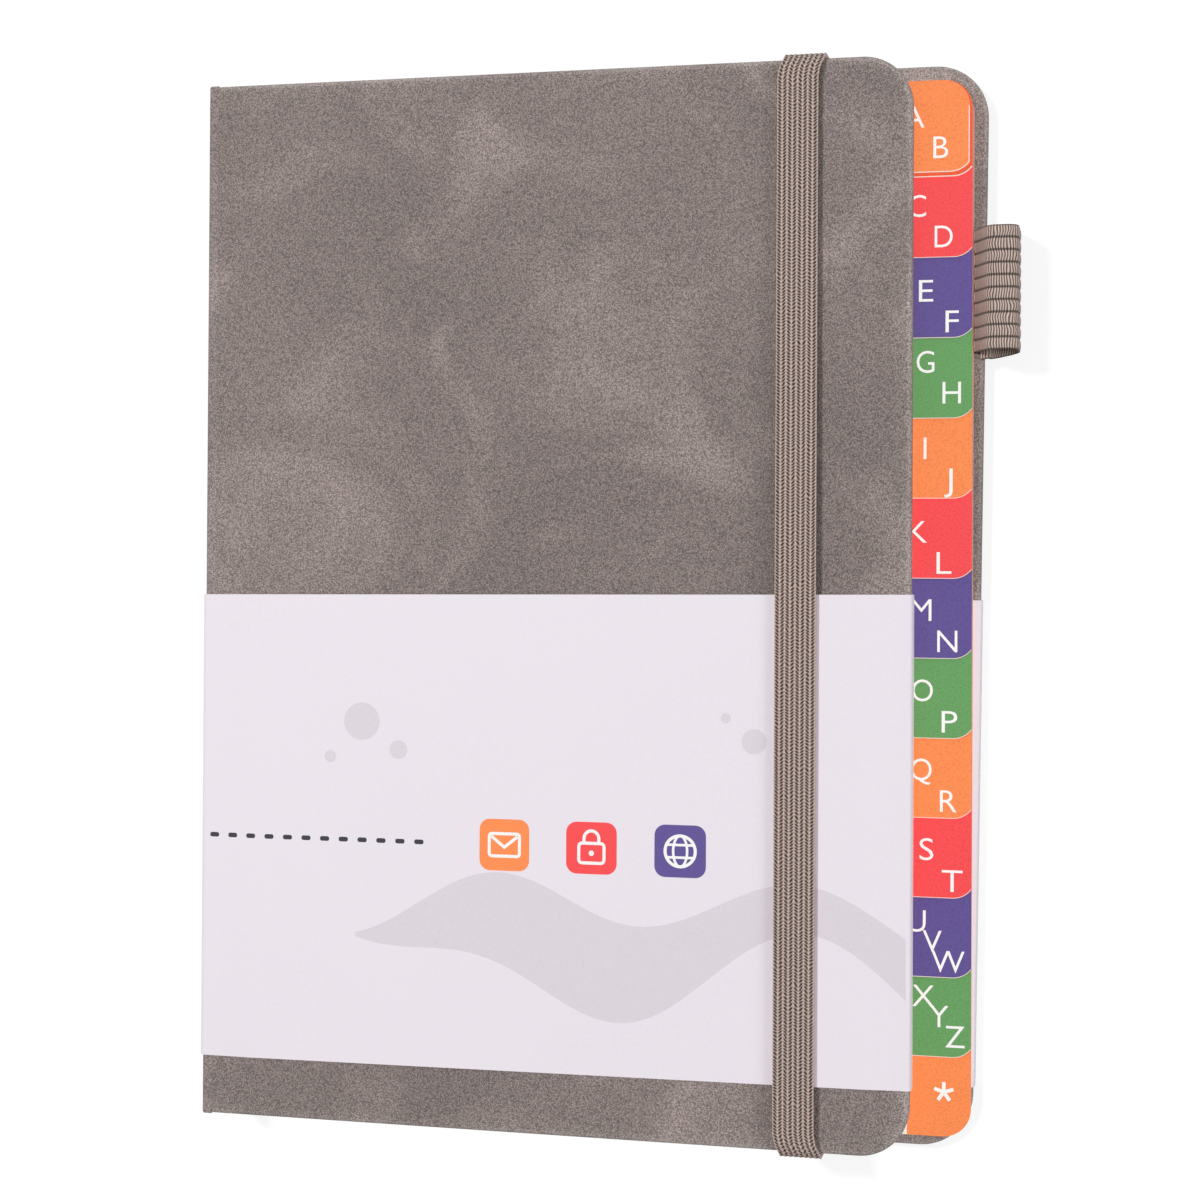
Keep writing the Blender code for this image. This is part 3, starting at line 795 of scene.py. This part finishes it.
def make_case():
    """The leather of the two covers and the spine, and the two folds between them."""
    front = cover_leather("front_leather", FRONT_HIGH.z, -1, FRONT_HIGH.x, 0.0, FRONT_CORNER)
    back = cover_leather("back_leather", BACK_LOW.z, 1, BACK_HIGH.x, BACK_LEAN, BACK_CORNER)
    spine = spine_leather()
    for piece, body, node in ((front, "front_cover", "front_skin"), (back, "back_cover", "back_skin"),
                              (spine, "spine", "spine_skin")):
        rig.ride(piece, body)
        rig.replaces(piece, node)
        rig.slot(piece, "leather")
    rows = sheet_rows(-HALF_HEIGHT, HALF_HEIGHT, FOLD_ROWS, FOLD_EDGE, FOLD_EDGE_SHARE)
    for cover, face, inwards in (("front_cover", FRONT_HIGH.z, -1), ("back_cover", BACK_LOW.z, 1)):
        line = fold_line(face, inwards)
        fold = ribbon(cover + "_fold_leather", line, SKIN, rows, LEATHER, values={"wear": FOLD_WEAR})
        bend_at_fold(fold, cover)
        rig.slot(fold, "leather")


def band_lift(x):
    """How far the band's front panel stands off the leather, as loosely folded paper does between folds."""
    at_spine = smooth(x, COVER_START, COVER_START + BAND_EASE)
    at_edge = smooth(x, FRONT_HIGH.x - BAND_HELD, FRONT_HIGH.x - BAND_EASE)
    return BAND_LIFT * at_spine * at_edge


def band_wrap(face, inwards, edge, flap_level):
    """The band's x-z line over a cover, round its fore-edge and in as a flap; backwards for the back."""
    face_end = edge - BAND_BEND
    flap_start = edge - FLAP_BEND
    turn = -inwards * 90.0
    if inwards < 0:
        across = between(COVER_START, COVER_START + BAND_EASE, EASE_STEPS)
        across += between(FRONT_HIGH.x - BAND_EASE, face_end, EASE_STEPS)
        line = [(x, face + band_lift(x)) for x in across]
    else:
        line = [(x, face) for x in between(COVER_START, face_end, PANEL_STEPS)]
    line += arc((face_end, face + inwards * BAND_BEND), BAND_BEND, turn, 0.0, BEND_STEPS)[1:]
    line += arc((flap_start, flap_level - inwards * FLAP_BEND), FLAP_BEND, 0.0, -turn, BEND_STEPS)
    line += [(x, flap_level) for x in between(flap_start, edge - BAND_FLAP, FLAP_STEPS)[1:]]
    return line if inwards < 0 else line[::-1]


def fold_share(x):
    """How much of its room beside the spine the band's fold takes: all at the spine, none beyond."""
    return 1.0 - smooth(x, SPINE_FACE, SPINE_FACE + FOLD_WIDTH)


def make_band():
    """The paper band: a panel on each cover, one on the spine, and the two folds between them."""
    rows = sheet_rows(BAND_TAIL, BAND_HEAD, BAND_ROWS)
    for cover, node, inwards, lean, edge, slope in (
            ("front_cover", "band_front", -1, 0.0, FRONT_HIGH.x, BAND_SLOPE),
            ("back_cover", "band_back", 1, BACK_LEAN, BACK_HIGH.x, 0.0)):
        low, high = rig.box(node)
        face, flap = (high.z, low.z) if inwards < 0 else (low.z, high.z)
        line = band_wrap(face, inwards, edge + BAND_CLEAR, flap)
        panel = ribbon(node + "_paper", line, BAND, rows, BAND_PAPER, lean, slope=slope)
        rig.ride(panel, cover)
        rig.replaces(panel, node)
        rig.slot(panel, "band_paper")
        line = [(x - BAND_CLEAR * fold_share(x), z) for x, z in fold_line(face, inwards)]
        corner = ribbon(node + "_fold_paper", line, BAND, rows, BAND_PAPER)
        bend_at_fold(corner, cover)
        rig.slot(corner, "band_paper")
    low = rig.box("band_back")[0].z + FOLD_REACH
    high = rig.box("band_front")[1].z - FOLD_REACH
    line = [(SPINE_FACE - BAND_CLEAR, z) for z in between(low, high, FLAT_STEPS)]
    spine = ribbon("band_spine_paper", line, BAND, rows, BAND_PAPER)
    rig.ride(spine, "spine")
    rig.replaces(spine, "band_spine")
    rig.slot(spine, "band_paper")


def rib_height(across):
    """Height of the elastic's ribs, from 0 in a valley to 1 on a crest; across counts in ribs."""
    return abs(math.sin(math.pi * across)) ** RIB_FULLNESS


def woven(name, path, width, ribs, first, thickness, relief, thread, slant, place, material):
    """Ribbed elastic along a path of points and outward directions; place turns (point, side) into x, y, z.

    The first rib begins in a valley for 0 and on its crest for 0.5.
    """
    travelled = 0.0
    rings = []
    rib_values = []
    thread_values = []
    columns = ribs * RIB_STEPS
    for index, (point, out) in enumerate(path):
        travelled += math.dist(point, path[max(index - 1, 0)][0])
        upper = []
        lower = []
        heights = []
        threads = []
        for column in range(columns + 1):
            across = first + column / RIB_STEPS
            height = rib_height(across)
            off = thickness / 2 - relief * (1 - height)
            side = width * (column / columns - 0.5)
            upper.append(place((point[0] + out[0] * off, point[1] + out[1] * off), side))
            lower.append(place((point[0] - out[0] * off, point[1] - out[1] * off), side))
            heights.append(height)
            threads.append(travelled / thread + slant * abs((across - 0.5) % 2.0 - 1.0))
        rings.append(upper + lower[::-1])
        rib_values += heights + heights[::-1]
        thread_values += threads + threads[::-1]
    vertices, faces = loft(rings)
    values = {"rib": rib_values, "thread": thread_values}
    return add_mesh(name, vertices, faces, material, values, smooth_below=75.0)


def straight(start, end, out, steps):
    """Path points on a straight stretch, without its ends."""
    points = list(zip(between(start[0], end[0], steps), between(start[1], end[1], steps)))
    return [(point, out) for point in points[1:-1]]


def bend(centre, radius, start, end, steps=10, sign=1.0):
    """Path points round a bend, with directions away from its centre, or towards it for sign -1."""
    return [((x, y), (sign * (x - centre[0]) / radius, sign * (y - centre[1]) / radius))
            for x, y in arc(centre, radius, start, end, steps)]


def strap_lift(y):
    """The strap runs straight from the cover's edges up to the band that lifts it."""
    above = (HALF_HEIGHT - y) / (HALF_HEIGHT - BAND_HEAD)
    below = (HALF_HEIGHT + y) / (HALF_HEIGHT + BAND_TAIL)
    return BAND_LIFT * max(0.0, min(1.0, above, below))


def strap_lean(y):
    """The strap slips a little towards the fore-edge as it passes over the head and tail edges."""
    return STRAP_LEAN * smooth(abs(y), HALF_HEIGHT - STRAP_LEAN_START, HALF_HEIGHT + STRAP_THICKNESS)


def make_strap():
    """The elastic strap, from the back cover's head edge over the front and down to the tail edge."""
    low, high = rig.box("elastic_strap")
    leg = high.y - STRAP_THICKNESS / 2
    run = high.z - STRAP_THICKNESS / 2
    middle = (low.x + high.x) / 2 + STRAP_SHIFT
    turn = leg - STRAP_BEND
    corner = bend((turn, run - STRAP_BEND), STRAP_BEND, 0.0, 90.0)
    head = [((leg, low.z), (1.0, 0.0))]
    head += straight((leg, low.z), corner[0][0], (1.0, 0.0), LEG_STEPS) + corner
    over = straight((turn, run), (-turn, run), (0.0, 1.0), STRAP_STEPS)
    path = head + [((y, z + strap_lift(y)), out) for (y, z), out in over]
    path += [((-y, z), (-out_y, out_z)) for (y, z), (out_y, out_z) in reversed(head)]

    def place(point, side):
        return middle + side + strap_lean(point[0]), point[0], point[1]

    strap = woven("strap_elastic", path, STRAP_WIDTH, STRAP_RIBS, 0.5, STRAP_THICKNESS, STRAP_RELIEF,
                  STRAP_THREAD, STRAP_SLANT, place, ELASTIC)
    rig.ride(strap, "strap")
    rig.replaces(strap, "elastic_strap")
    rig.slot(strap, "elastic")
    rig.squash(strap, "strap_swing", axis=(0.0, 0.0, 1.0), anchor=(middle, 0.0, low.z), keep=STRAP_FLAT)


def make_pen_loop():
    """The pen loop: a tail on the turned-in leather, a slanting rise, round the loop and over the edge."""
    low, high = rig.box("pen_loop")
    half = LOOP_THICKNESS / 2
    centre = (low.y + high.y) / 2
    left = low.x + LOOP_TAIL + LOOP_THICKNESS
    right = high.x - half
    bottom = low.z + half
    top = high.z - half
    level = BACK_LOW.z + COVER_THICKNESS + LOOP_CLEAR + half
    rise = math.radians(LOOP_RISE)
    climb = top - LOOP_CORNER + LOOP_CORNER * math.cos(rise) - level - LOOP_FOOT * (1 - math.cos(rise))
    shoulder = LOOP_RISE_START + (LOOP_FOOT + LOOP_CORNER) * math.sin(rise) + climb / math.tan(rise)
    path = [((low.x, level), (0.0, 1.0))]
    path += bend((LOOP_RISE_START, level + LOOP_FOOT), LOOP_FOOT, -90.0, LOOP_RISE - 90.0, sign=-1.0)
    path += bend((shoulder, top - LOOP_CORNER), LOOP_CORNER, 90.0 + LOOP_RISE, 90.0, LOOP_STEPS)
    corners = (
        (right - LOOP_CORNER, top - LOOP_CORNER, 90.0),
        (right - LOOP_CORNER, bottom + LOOP_CORNER, 0.0),
        (left + LOOP_CORNER, bottom + LOOP_CORNER, -90.0),
    )
    for x, z, start in corners:
        path += bend((x, z), LOOP_CORNER, start, start - 90.0, LOOP_STEPS)
    path += bend((left - LOOP_END_BEND, level - LOOP_END_BEND), LOOP_END_BEND, 0.0, 90.0, sign=-1.0)
    path.append(((LOOP_LOWER_END, level), (0.0, -1.0)))

    def place(point, side):
        """The lower layer lies a little towards the tail, as the loop was folded slightly askew."""
        upper_level, lower_level = LOOP_SLIP_LEVELS
        lower = smooth(point[1], level + upper_level, level + lower_level)
        lower *= smooth(point[0], LOOP_SLIP_START, LOOP_LOWER_END)
        return point[0], centre + side - LOOP_SLIP * lower * (right - point[0]) / (right - left), point[1]

    loop = woven("pen_loop_elastic", path, high.y - low.y, LOOP_RIBS, 0.0, LOOP_THICKNESS, LOOP_RELIEF,
                 LOOP_THREAD, LOOP_SLANT, place, LOOP_ELASTIC)
    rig.ride(loop, "back_cover")
    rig.replaces(loop, "pen_loop")
    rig.slot(loop, "elastic")


def give(node, material):
    """A CAD part that keeps its shape takes a new finish."""
    piece = frame["nodes"][node]
    piece.data.materials.clear()
    piece.data.materials.append(material)


def section(number):
    return "section_%02d" % number


def tab_span(number):
    """Highest and lowest y of a tab on the strip, at rest."""
    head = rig.box("tab_leaf_01")[1].y
    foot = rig.box("tab_leaf_%02d" % TAB_COUNT)[0].y
    second = head - FIRST_TAB
    if number == 1:
        return head, second
    pitch = (second - foot) / (TAB_COUNT - 1)
    top = second - (number - 2) * pitch
    return top, top - pitch


def finish_papers():
    """Materials for the boards, the papers and the tab leaves."""
    for node in ("front_board", "back_board", "spine_liner"):
        give(node, GREY_BOARD)
    for node in ("front_pastedown", "back_pastedown", "rear_flyleaf"):
        give(node, CREAM_PAPER)
    give("front_pages", RULED_PAPER)
    for node in ("strap_end_head", "strap_end_tail"):
        give(node, ELASTIC)
    slots = list(TAB_CARD)
    for number in range(1, TAB_COUNT + 1):
        give("pages_%02d" % number, RULED_PAPER)
        slot = slots[(number - 1) % len(slots)]
        give("tab_leaf_%02d" % number, UNDER_CARD if number == 1 else TAB_CARD[slot])


class Collector:
    """Gathers small closed bodies that make up one piece, raised by lift(x) if it lies on a bent sheet."""

    def __init__(self, lift=None):
        self.vertices = []
        self.faces = []
        self.lift = lift

    def add(self, vertices, faces):
        start = len(self.vertices)
        for x, y, z in vertices:
            self.vertices.append((x, y, z + self.lift(x) if self.lift else z))
        self.faces += [tuple(start + corner for corner in face) for face in faces]

    def prism(self, outline, low, high):
        """A flat body with the given outline between two levels."""
        self.add(*loft([[(x, y, low) for x, y in outline], [(x, y, high) for x, y in outline]]))

    def line(self, points, width, low, high, closed=False):
        """A flat line of even width through points."""
        count = len(points)
        places = [Vector(point) for point in points]
        ways = [(after - here).normalized() for here, after in zip(places, places[1:] + places[:1])]
        left = []
        right = []
        for index, here in enumerate(places):
            arriving = ways[index - 1] if closed or index > 0 else ways[0]
            leaving = ways[index] if closed or index < count - 1 else arriving
            across = Vector((-(arriving + leaving).y, (arriving + leaving).x)).normalized()
            reach = width / 2 / max(0.5, across.dot(Vector((-arriving.y, arriving.x))))
            left.append(here + across * reach)
            right.append(here - across * reach)
        rings = [[(a.x, a.y, low), (b.x, b.y, low), (b.x, b.y, high), (a.x, a.y, high)]
                 for a, b in zip(left, right)]
        vertices, faces = loft(rings)
        if closed:
            last = (count - 1) * 4
            faces = faces[:-2] + [(last + k, last + (k + 1) % 4, (k + 1) % 4, k) for k in range(4)]
        self.add(vertices, faces)

    def piece(self, name, material, body, slot=None):
        made = add_mesh(name, self.vertices, self.faces, material)
        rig.ride(made, body)
        if slot:
            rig.slot(made, slot)
        return made


def rounded_box(centre, width, height, radius, steps=6):
    """Outline of a rectangle with round corners."""
    x, y = centre
    a = width / 2 - radius
    b = height / 2 - radius
    outline = []
    for cx, cy, start in ((a, b, 0.0), (-a, b, 90.0), (-a, -b, 180.0), (a, -b, 270.0)):
        outline += arc((x + cx, y + cy), radius, start, start + 90.0, steps)
    return outline


def circle(centre, radius, steps=32):
    return arc(centre, radius, 0.0, 360.0 * (steps - 1) / steps, steps - 1)


def letter_mesh(letter):
    """Vertices and faces of a letter of the built-in typeface, one unit tall, centred on the origin."""
    curve = bpy.data.curves.new("letter", "FONT")
    curve.body = letter
    curve.align_x = "CENTER"
    curve.extrude = 0.5
    curve.offset = LETTER_WEIGHT
    curve.resolution_u = 4
    carrier = add_object("letter", curve)
    bpy.context.view_layer.update()
    mesh = bpy.data.meshes.new_from_object(carrier.evaluated_get(bpy.context.evaluated_depsgraph_get()))
    vertices = [vertex.co.copy() for vertex in mesh.vertices]
    faces = [tuple(face.vertices) for face in mesh.polygons]
    bpy.data.objects.remove(carrier)
    bpy.data.meshes.remove(mesh)
    bpy.data.curves.remove(curve)
    return vertices, faces


def letter_width(letter):
    """The built-in typeface has wide round letters and narrow straight ones, so these are evened out."""
    for letters, factor in (ROUND_LETTERS, NARROW_LETTERS):
        if letter in letters:
            return factor
    return 1.0


def asterisk(collector, centre, low, high, arms=5):
    """A star of plain strokes from one point."""
    for arm in range(arms):
        angle = math.radians(90.0 + 360.0 * arm / arms)
        tip = (centre[0] + STAR_RADIUS * math.cos(angle), centre[1] + STAR_RADIUS * math.sin(angle))
        collector.line([centre, tip], STAR_STROKE, low, high + arm * CROSSING)


def letter_places(number):
    """Where a tab's letters stand: down the strip in steps from its inner to its outer edge."""
    top, bottom = tab_span(number)
    count = len(TAB_LETTERS[number - 1])
    right, down = LETTER_SHIFTS[number - 1]
    x = PAGE_EDGE + LETTER_INSET + right * MM
    if count == 1:
        return [(x + STAR_SHIFT[0], (top + bottom) / 2 + STAR_SHIFT[1])]
    y = bottom + LETTER_STARTS[count] - down * MM + (FIRST_TAB_RISE if number == 1 else 0.0)
    step_x, step_y = LETTER_STEPS[count]
    return [(x + step_x * place, y + step_y * place) for place in range(count)]


def make_letters():
    """Index letters on both faces of each tab."""
    unit = letter_mesh("H")
    tall = max(point.y for point in unit[0]) - min(point.y for point in unit[0])
    size = LETTER_HEIGHT / tall
    for number in range(1, TAB_COUNT + 1):
        low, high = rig.box("tab_leaf_%02d" % number)
        surface = high.z + (TOP_CARD if number == 1 else 0.0)
        printed = Collector()
        for letter, (x, y) in zip(TAB_LETTERS[number - 1], letter_places(number)):
            if letter == "*":
                asterisk(printed, (x, y), surface, surface + LETTER_DEPTH)
                asterisk(printed, (x, y), low.z - LETTER_DEPTH, low.z)
                continue
            vertices, faces = letter_mesh(letter)
            wide = size * letter_width(letter)
            for level, mirror in ((surface, 1.0), (low.z - LETTER_DEPTH, -1.0)):
                printed.add([(x + mirror * point.x * wide, y + point.y * size - LETTER_HEIGHT / 2,
                              level + (point.z + 0.5) * LETTER_DEPTH) for point in vertices], faces)
        printed.piece("letters_%02d" % number, WHITE_INK, section(number))


def tab_foot(right, low_edge):
    """The lower edge of a tab at its outer end: a shallow curve up to the side."""
    reach = TAB_CORNER * math.sin(math.radians(TAB_CORNER_TURN))
    return arc((right - reach, low_edge + TAB_CORNER), TAB_CORNER, -90.0, TAB_CORNER_TURN - 90.0, TAB_STEPS)


def make_top_card():
    """The first tab is doubled: a slightly smaller orange card lies on the deeper orange one."""
    top, bottom = tab_span(1)
    right = TAB_EDGE - TOP_CARD_SIDE
    low_edge = bottom + TOP_CARD_FOOT
    shoulder = top - TOP_CARD_ROUND
    outline = [(TAB_ROOT, low_edge)] + tab_foot(right, low_edge)
    outline += arc((right - TOP_CARD_ROUND, shoulder), TOP_CARD_ROUND, 0.0, 90.0, TAB_STEPS)
    outline.append((TAB_ROOT, top))
    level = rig.box("tab_leaf_01")[1].z
    card = Collector()
    card.prism(outline, level, level + TOP_CARD)
    card.piece("tab_top_card", TAB_CARD["tab_orange"], section(1), "tab_orange")
    edge = Collector()
    inset = CUT_LINE / 2
    side = [(TAB_ROOT, low_edge + inset)] + tab_foot(right - inset, low_edge + inset)
    side.append((right - inset, shoulder))
    edge.line(side, CUT_LINE, level + TOP_CARD, level + TOP_CARD + LETTER_DEPTH)
    edge.piece("tab_top_card_edge", CUT_INK, section(1))


def make_cut_edges():
    """The pale line of bare card along the cut foot of each tab."""
    for number in range(1, TAB_COUNT):
        width = CUT_LINE if number == 1 else THIN_CUT_LINE
        inset = width / 2
        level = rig.box("tab_leaf_%02d" % number)[1].z
        low_edge = tab_span(number)[1] + inset
        edge = Collector()
        foot = [(TAB_ROOT, low_edge)] + tab_foot(TAB_EDGE - inset, low_edge)
        edge.line(foot, width, level, level + LETTER_DEPTH)
        edge.piece("cut_edge_%02d" % number, CUT_INK, section(number))


def envelope(sign, x, y, low, high):
    """An envelope with its flap closed."""
    outline = rounded_box((x, y), 5.6 * MM, 4.0 * MM, 0.5 * MM, 3)
    sign.line(outline, SIGN_LINE, low, high, closed=True)
    reach = 2.4 * MM
    shoulder = y + 1.5 * MM
    tip = y - 0.4 * MM
    sign.line([(x - reach, shoulder), (x, tip), (x + reach, shoulder)], SIGN_LINE, low, high + CROSSING)


def padlock(sign, x, y, low, high):
    """A closed padlock with a keyhole."""
    middle = y - 0.9 * MM
    outline = rounded_box((x, middle), 4.6 * MM, 3.5 * MM, 0.6 * MM, 3)
    sign.line(outline, SIGN_LINE, low, high, closed=True)
    reach = 1.35 * MM
    foot = y + 0.95 * MM
    shackle = [(x + reach, foot)] + arc((x, y + 1.7 * MM), reach, 0.0, 180.0, 12)
    sign.line(shackle + [(x - reach, foot)], SIGN_LINE, low, high + CROSSING)
    sign.prism(circle((x, middle), 0.48 * MM, 16), low, high)


def globe(sign, x, y, low, high):
    """A globe with one meridian and two parallels."""
    radius = 2.7 * MM
    half_width = 1.25 * MM
    steps = 40
    sign.line(circle((x, y), radius, steps), SIGN_LINE, low, high, closed=True)
    turns = between(0.0, 2 * math.pi * (steps - 1) / steps, steps - 1)
    meridian = [(x + half_width * math.cos(turn), y + radius * math.sin(turn)) for turn in turns]
    sign.line(meridian, THIN_SIGN_LINE, low, high + CROSSING, closed=True)
    for level in (-1.1 * MM, 1.1 * MM):
        reach = math.sqrt(radius ** 2 - level ** 2)
        parallel = [(x - reach, y + level), (x + reach, y + level)]
        sign.line(parallel, THIN_SIGN_LINE, low, high + 2 * CROSSING)


def add_wave(sheet, low):
    """A soft wave that swells from nothing at its start, between an upper and a lower curve."""
    start = SPINE_FACE + WAVE_START
    end = FRONT_HIGH.x - WAVE_TO_EDGE
    rings = []
    for share in between(0.0, 1.0, WAVE_STEPS):
        x = start + (end - start) * share
        swell = math.sin(0.5 * math.pi * min(1.0, share * 1.6))
        y = WAVE_ROW + WAVE_SWING * math.sin(2 * math.pi * (x - start) / WAVE_LENGTH) * swell
        upper = y + WAVE_DEPTH * (0.08 + 0.92 * swell) * (0.62 + 0.38 * math.sin(5.1 * share))
        lower = y - WAVE_DEPTH * swell * (0.55 + 0.3 * math.cos(4.3 * share))
        rings.append([(x, upper, low), (x, lower, low), (x, lower, low + INK), (x, upper, low + INK)])
    sheet.add(*loft(rings))


def make_print():
    """Plain decoration on the band's front: a wave, dots, a dashed line and three tiles with signs."""
    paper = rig.box("band_front")[1].z
    waves = Collector(band_lift)
    add_wave(waves, paper)
    for x, y, radius in DOTS:
        waves.prism(circle((SPINE_FACE + x * MM, y * MM), radius * MM, 40), paper, paper + INK)
    waves.piece("band_waves", WAVE_INK, "front_cover")
    dashes = Collector(band_lift)
    for number in range(DASHES):
        x = SPINE_FACE + DASH_START + number * DASH_PITCH
        dashes.prism(rounded_box((x, TILE_ROW), *DASH, 0.4 * DASH[1], 3), paper, paper + 2 * INK)
    dashes.piece("band_dashes", NAVY_INK, "front_cover")
    signs = Collector(band_lift)
    drawings = (envelope, padlock, globe)
    for place, slot, draw in zip(TILE_PLACES, ("tab_orange", "tab_red", "tab_purple"), drawings):
        tile = Collector(band_lift)
        x = SPINE_FACE + place
        tile.prism(rounded_box((x, TILE_ROW), TILE, TILE, TILE_ROUND), paper, paper + 2 * INK)
        tile.piece("band_tile_" + draw.__name__, TILE_INK[slot], "front_cover")
        draw(signs, x, TILE_ROW, paper + 2 * INK, paper + 3 * INK)
    signs.piece("band_signs", WHITE_INK, "front_cover")


def seen_rays(tree):
    """1 for rays that show a surface to the camera, also in gloss or through glass, and 0 for the rest."""
    path = tree.nodes.new("ShaderNodeLightPath")
    shown = path.outputs["Is Camera Ray"]
    for name in ("Is Glossy Ray", "Is Transmission Ray"):
        either = tree.nodes.new("ShaderNodeMath")
        either.operation = "MAXIMUM"
        tree.links.new(shown, either.inputs[0])
        tree.links.new(path.outputs[name], either.inputs[1])
        shown = either.outputs["Value"]
    return shown


def make_floor():
    """A white floor that keeps the shadow."""
    signs = ((-1, -1), (1, -1), (1, 1), (-1, 1))
    corners = [(x * FLOOR_REACH, y * FLOOR_REACH, 0.0) for x, y in signs]
    mesh = bpy.data.meshes.new("floor")
    mesh.from_pydata(corners, [], [(0, 1, 2, 3)])
    floor = add_object("floor", mesh)
    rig.stage(floor)
    white = Finish("floor", 0.9, 0.1)
    white.set("Base Color", FLOOR_GREY)
    white.set("Emission Color", WHITE)
    white.set("Emission Strength", white.math("MULTIPLY", seen_rays(white.tree), FLOOR_GLOW))
    mesh.materials.append(white.material)


def make_surroundings():
    """White all round for the camera, and a dimmer even light for the book."""
    world = bpy.data.worlds.new("studio")
    bpy.context.scene.world = world
    world.use_nodes = True
    tree = world.node_tree
    strength = tree.nodes.new("ShaderNodeMapRange")
    strength.inputs["To Min"].default_value = AMBIENT
    strength.inputs["To Max"].default_value = 1.0
    tree.links.new(seen_rays(tree), strength.inputs["Value"])
    background = tree.nodes["Background"]
    background.inputs["Color"].default_value = WHITE
    tree.links.new(strength.outputs["Result"], background.inputs["Strength"])


def make_lamp(name, place, size, energy):
    """A round lamp that faces the book."""
    lamp = bpy.data.lights.new(name, "AREA")
    lamp.shape = "DISK"
    lamp.size = size
    lamp.energy = energy
    holder = add_object(name, lamp)
    holder.location = place
    holder.rotation_euler = (-Vector(place)).to_track_quat("-Z", "Y").to_euler()
    return holder


def make_camera():
    """The camera, where the photograph was taken from."""
    lens = bpy.data.cameras.new("camera")
    lens.lens = CAMERA_LENS
    lens.sensor_width = 36.0
    lens.shift_y = CAMERA_SHIFT
    lens.clip_start = 0.01
    camera = add_object("camera", lens)
    turned = Matrix.Translation(CAMERA_PLACE)
    for axis, degrees in CAMERA_TURNS:
        turned = turned @ Matrix.Rotation(math.radians(degrees), 4, axis)
    camera.matrix_world = turned
    bpy.context.scene.camera = camera


def let_past(lamp, pieces):
    """The pieces stop none of the lamp's light, so it reaches what lies beside and below them."""
    passed = bpy.data.collections.new("passed by " + lamp.name)
    for piece in pieces:
        passed.objects.link(piece)
    for entry in passed.collection_objects:
        entry.light_linking.link_state = "EXCLUDE"
    lamp.light_linking.blocker_collection = passed


def write_sizes():
    """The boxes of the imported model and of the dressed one, side by side."""
    boxes = {"cad": CAD_BOX, "visual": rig.bounds()}
    with open("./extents.json", "w") as out:
        json.dump({name: [list(corner) for corner in box] for name, box in boxes.items()}, out)


bpy.context.scene.view_settings.view_transform = "Standard"
make_floor()
make_surroundings()
lamps = {name: make_lamp(name, *settings) for name, *settings in LAMPS}
make_camera()
make_case()
make_band()
make_strap()
make_pen_loop()
finish_papers()
make_top_card()
make_cut_edges()
make_letters()
make_print()
let_past(lamps["key"], [piece for piece in bpy.data.objects if piece.name.startswith(KEY_PASSES)])
bpy.context.view_layer.update()
write_sizes()
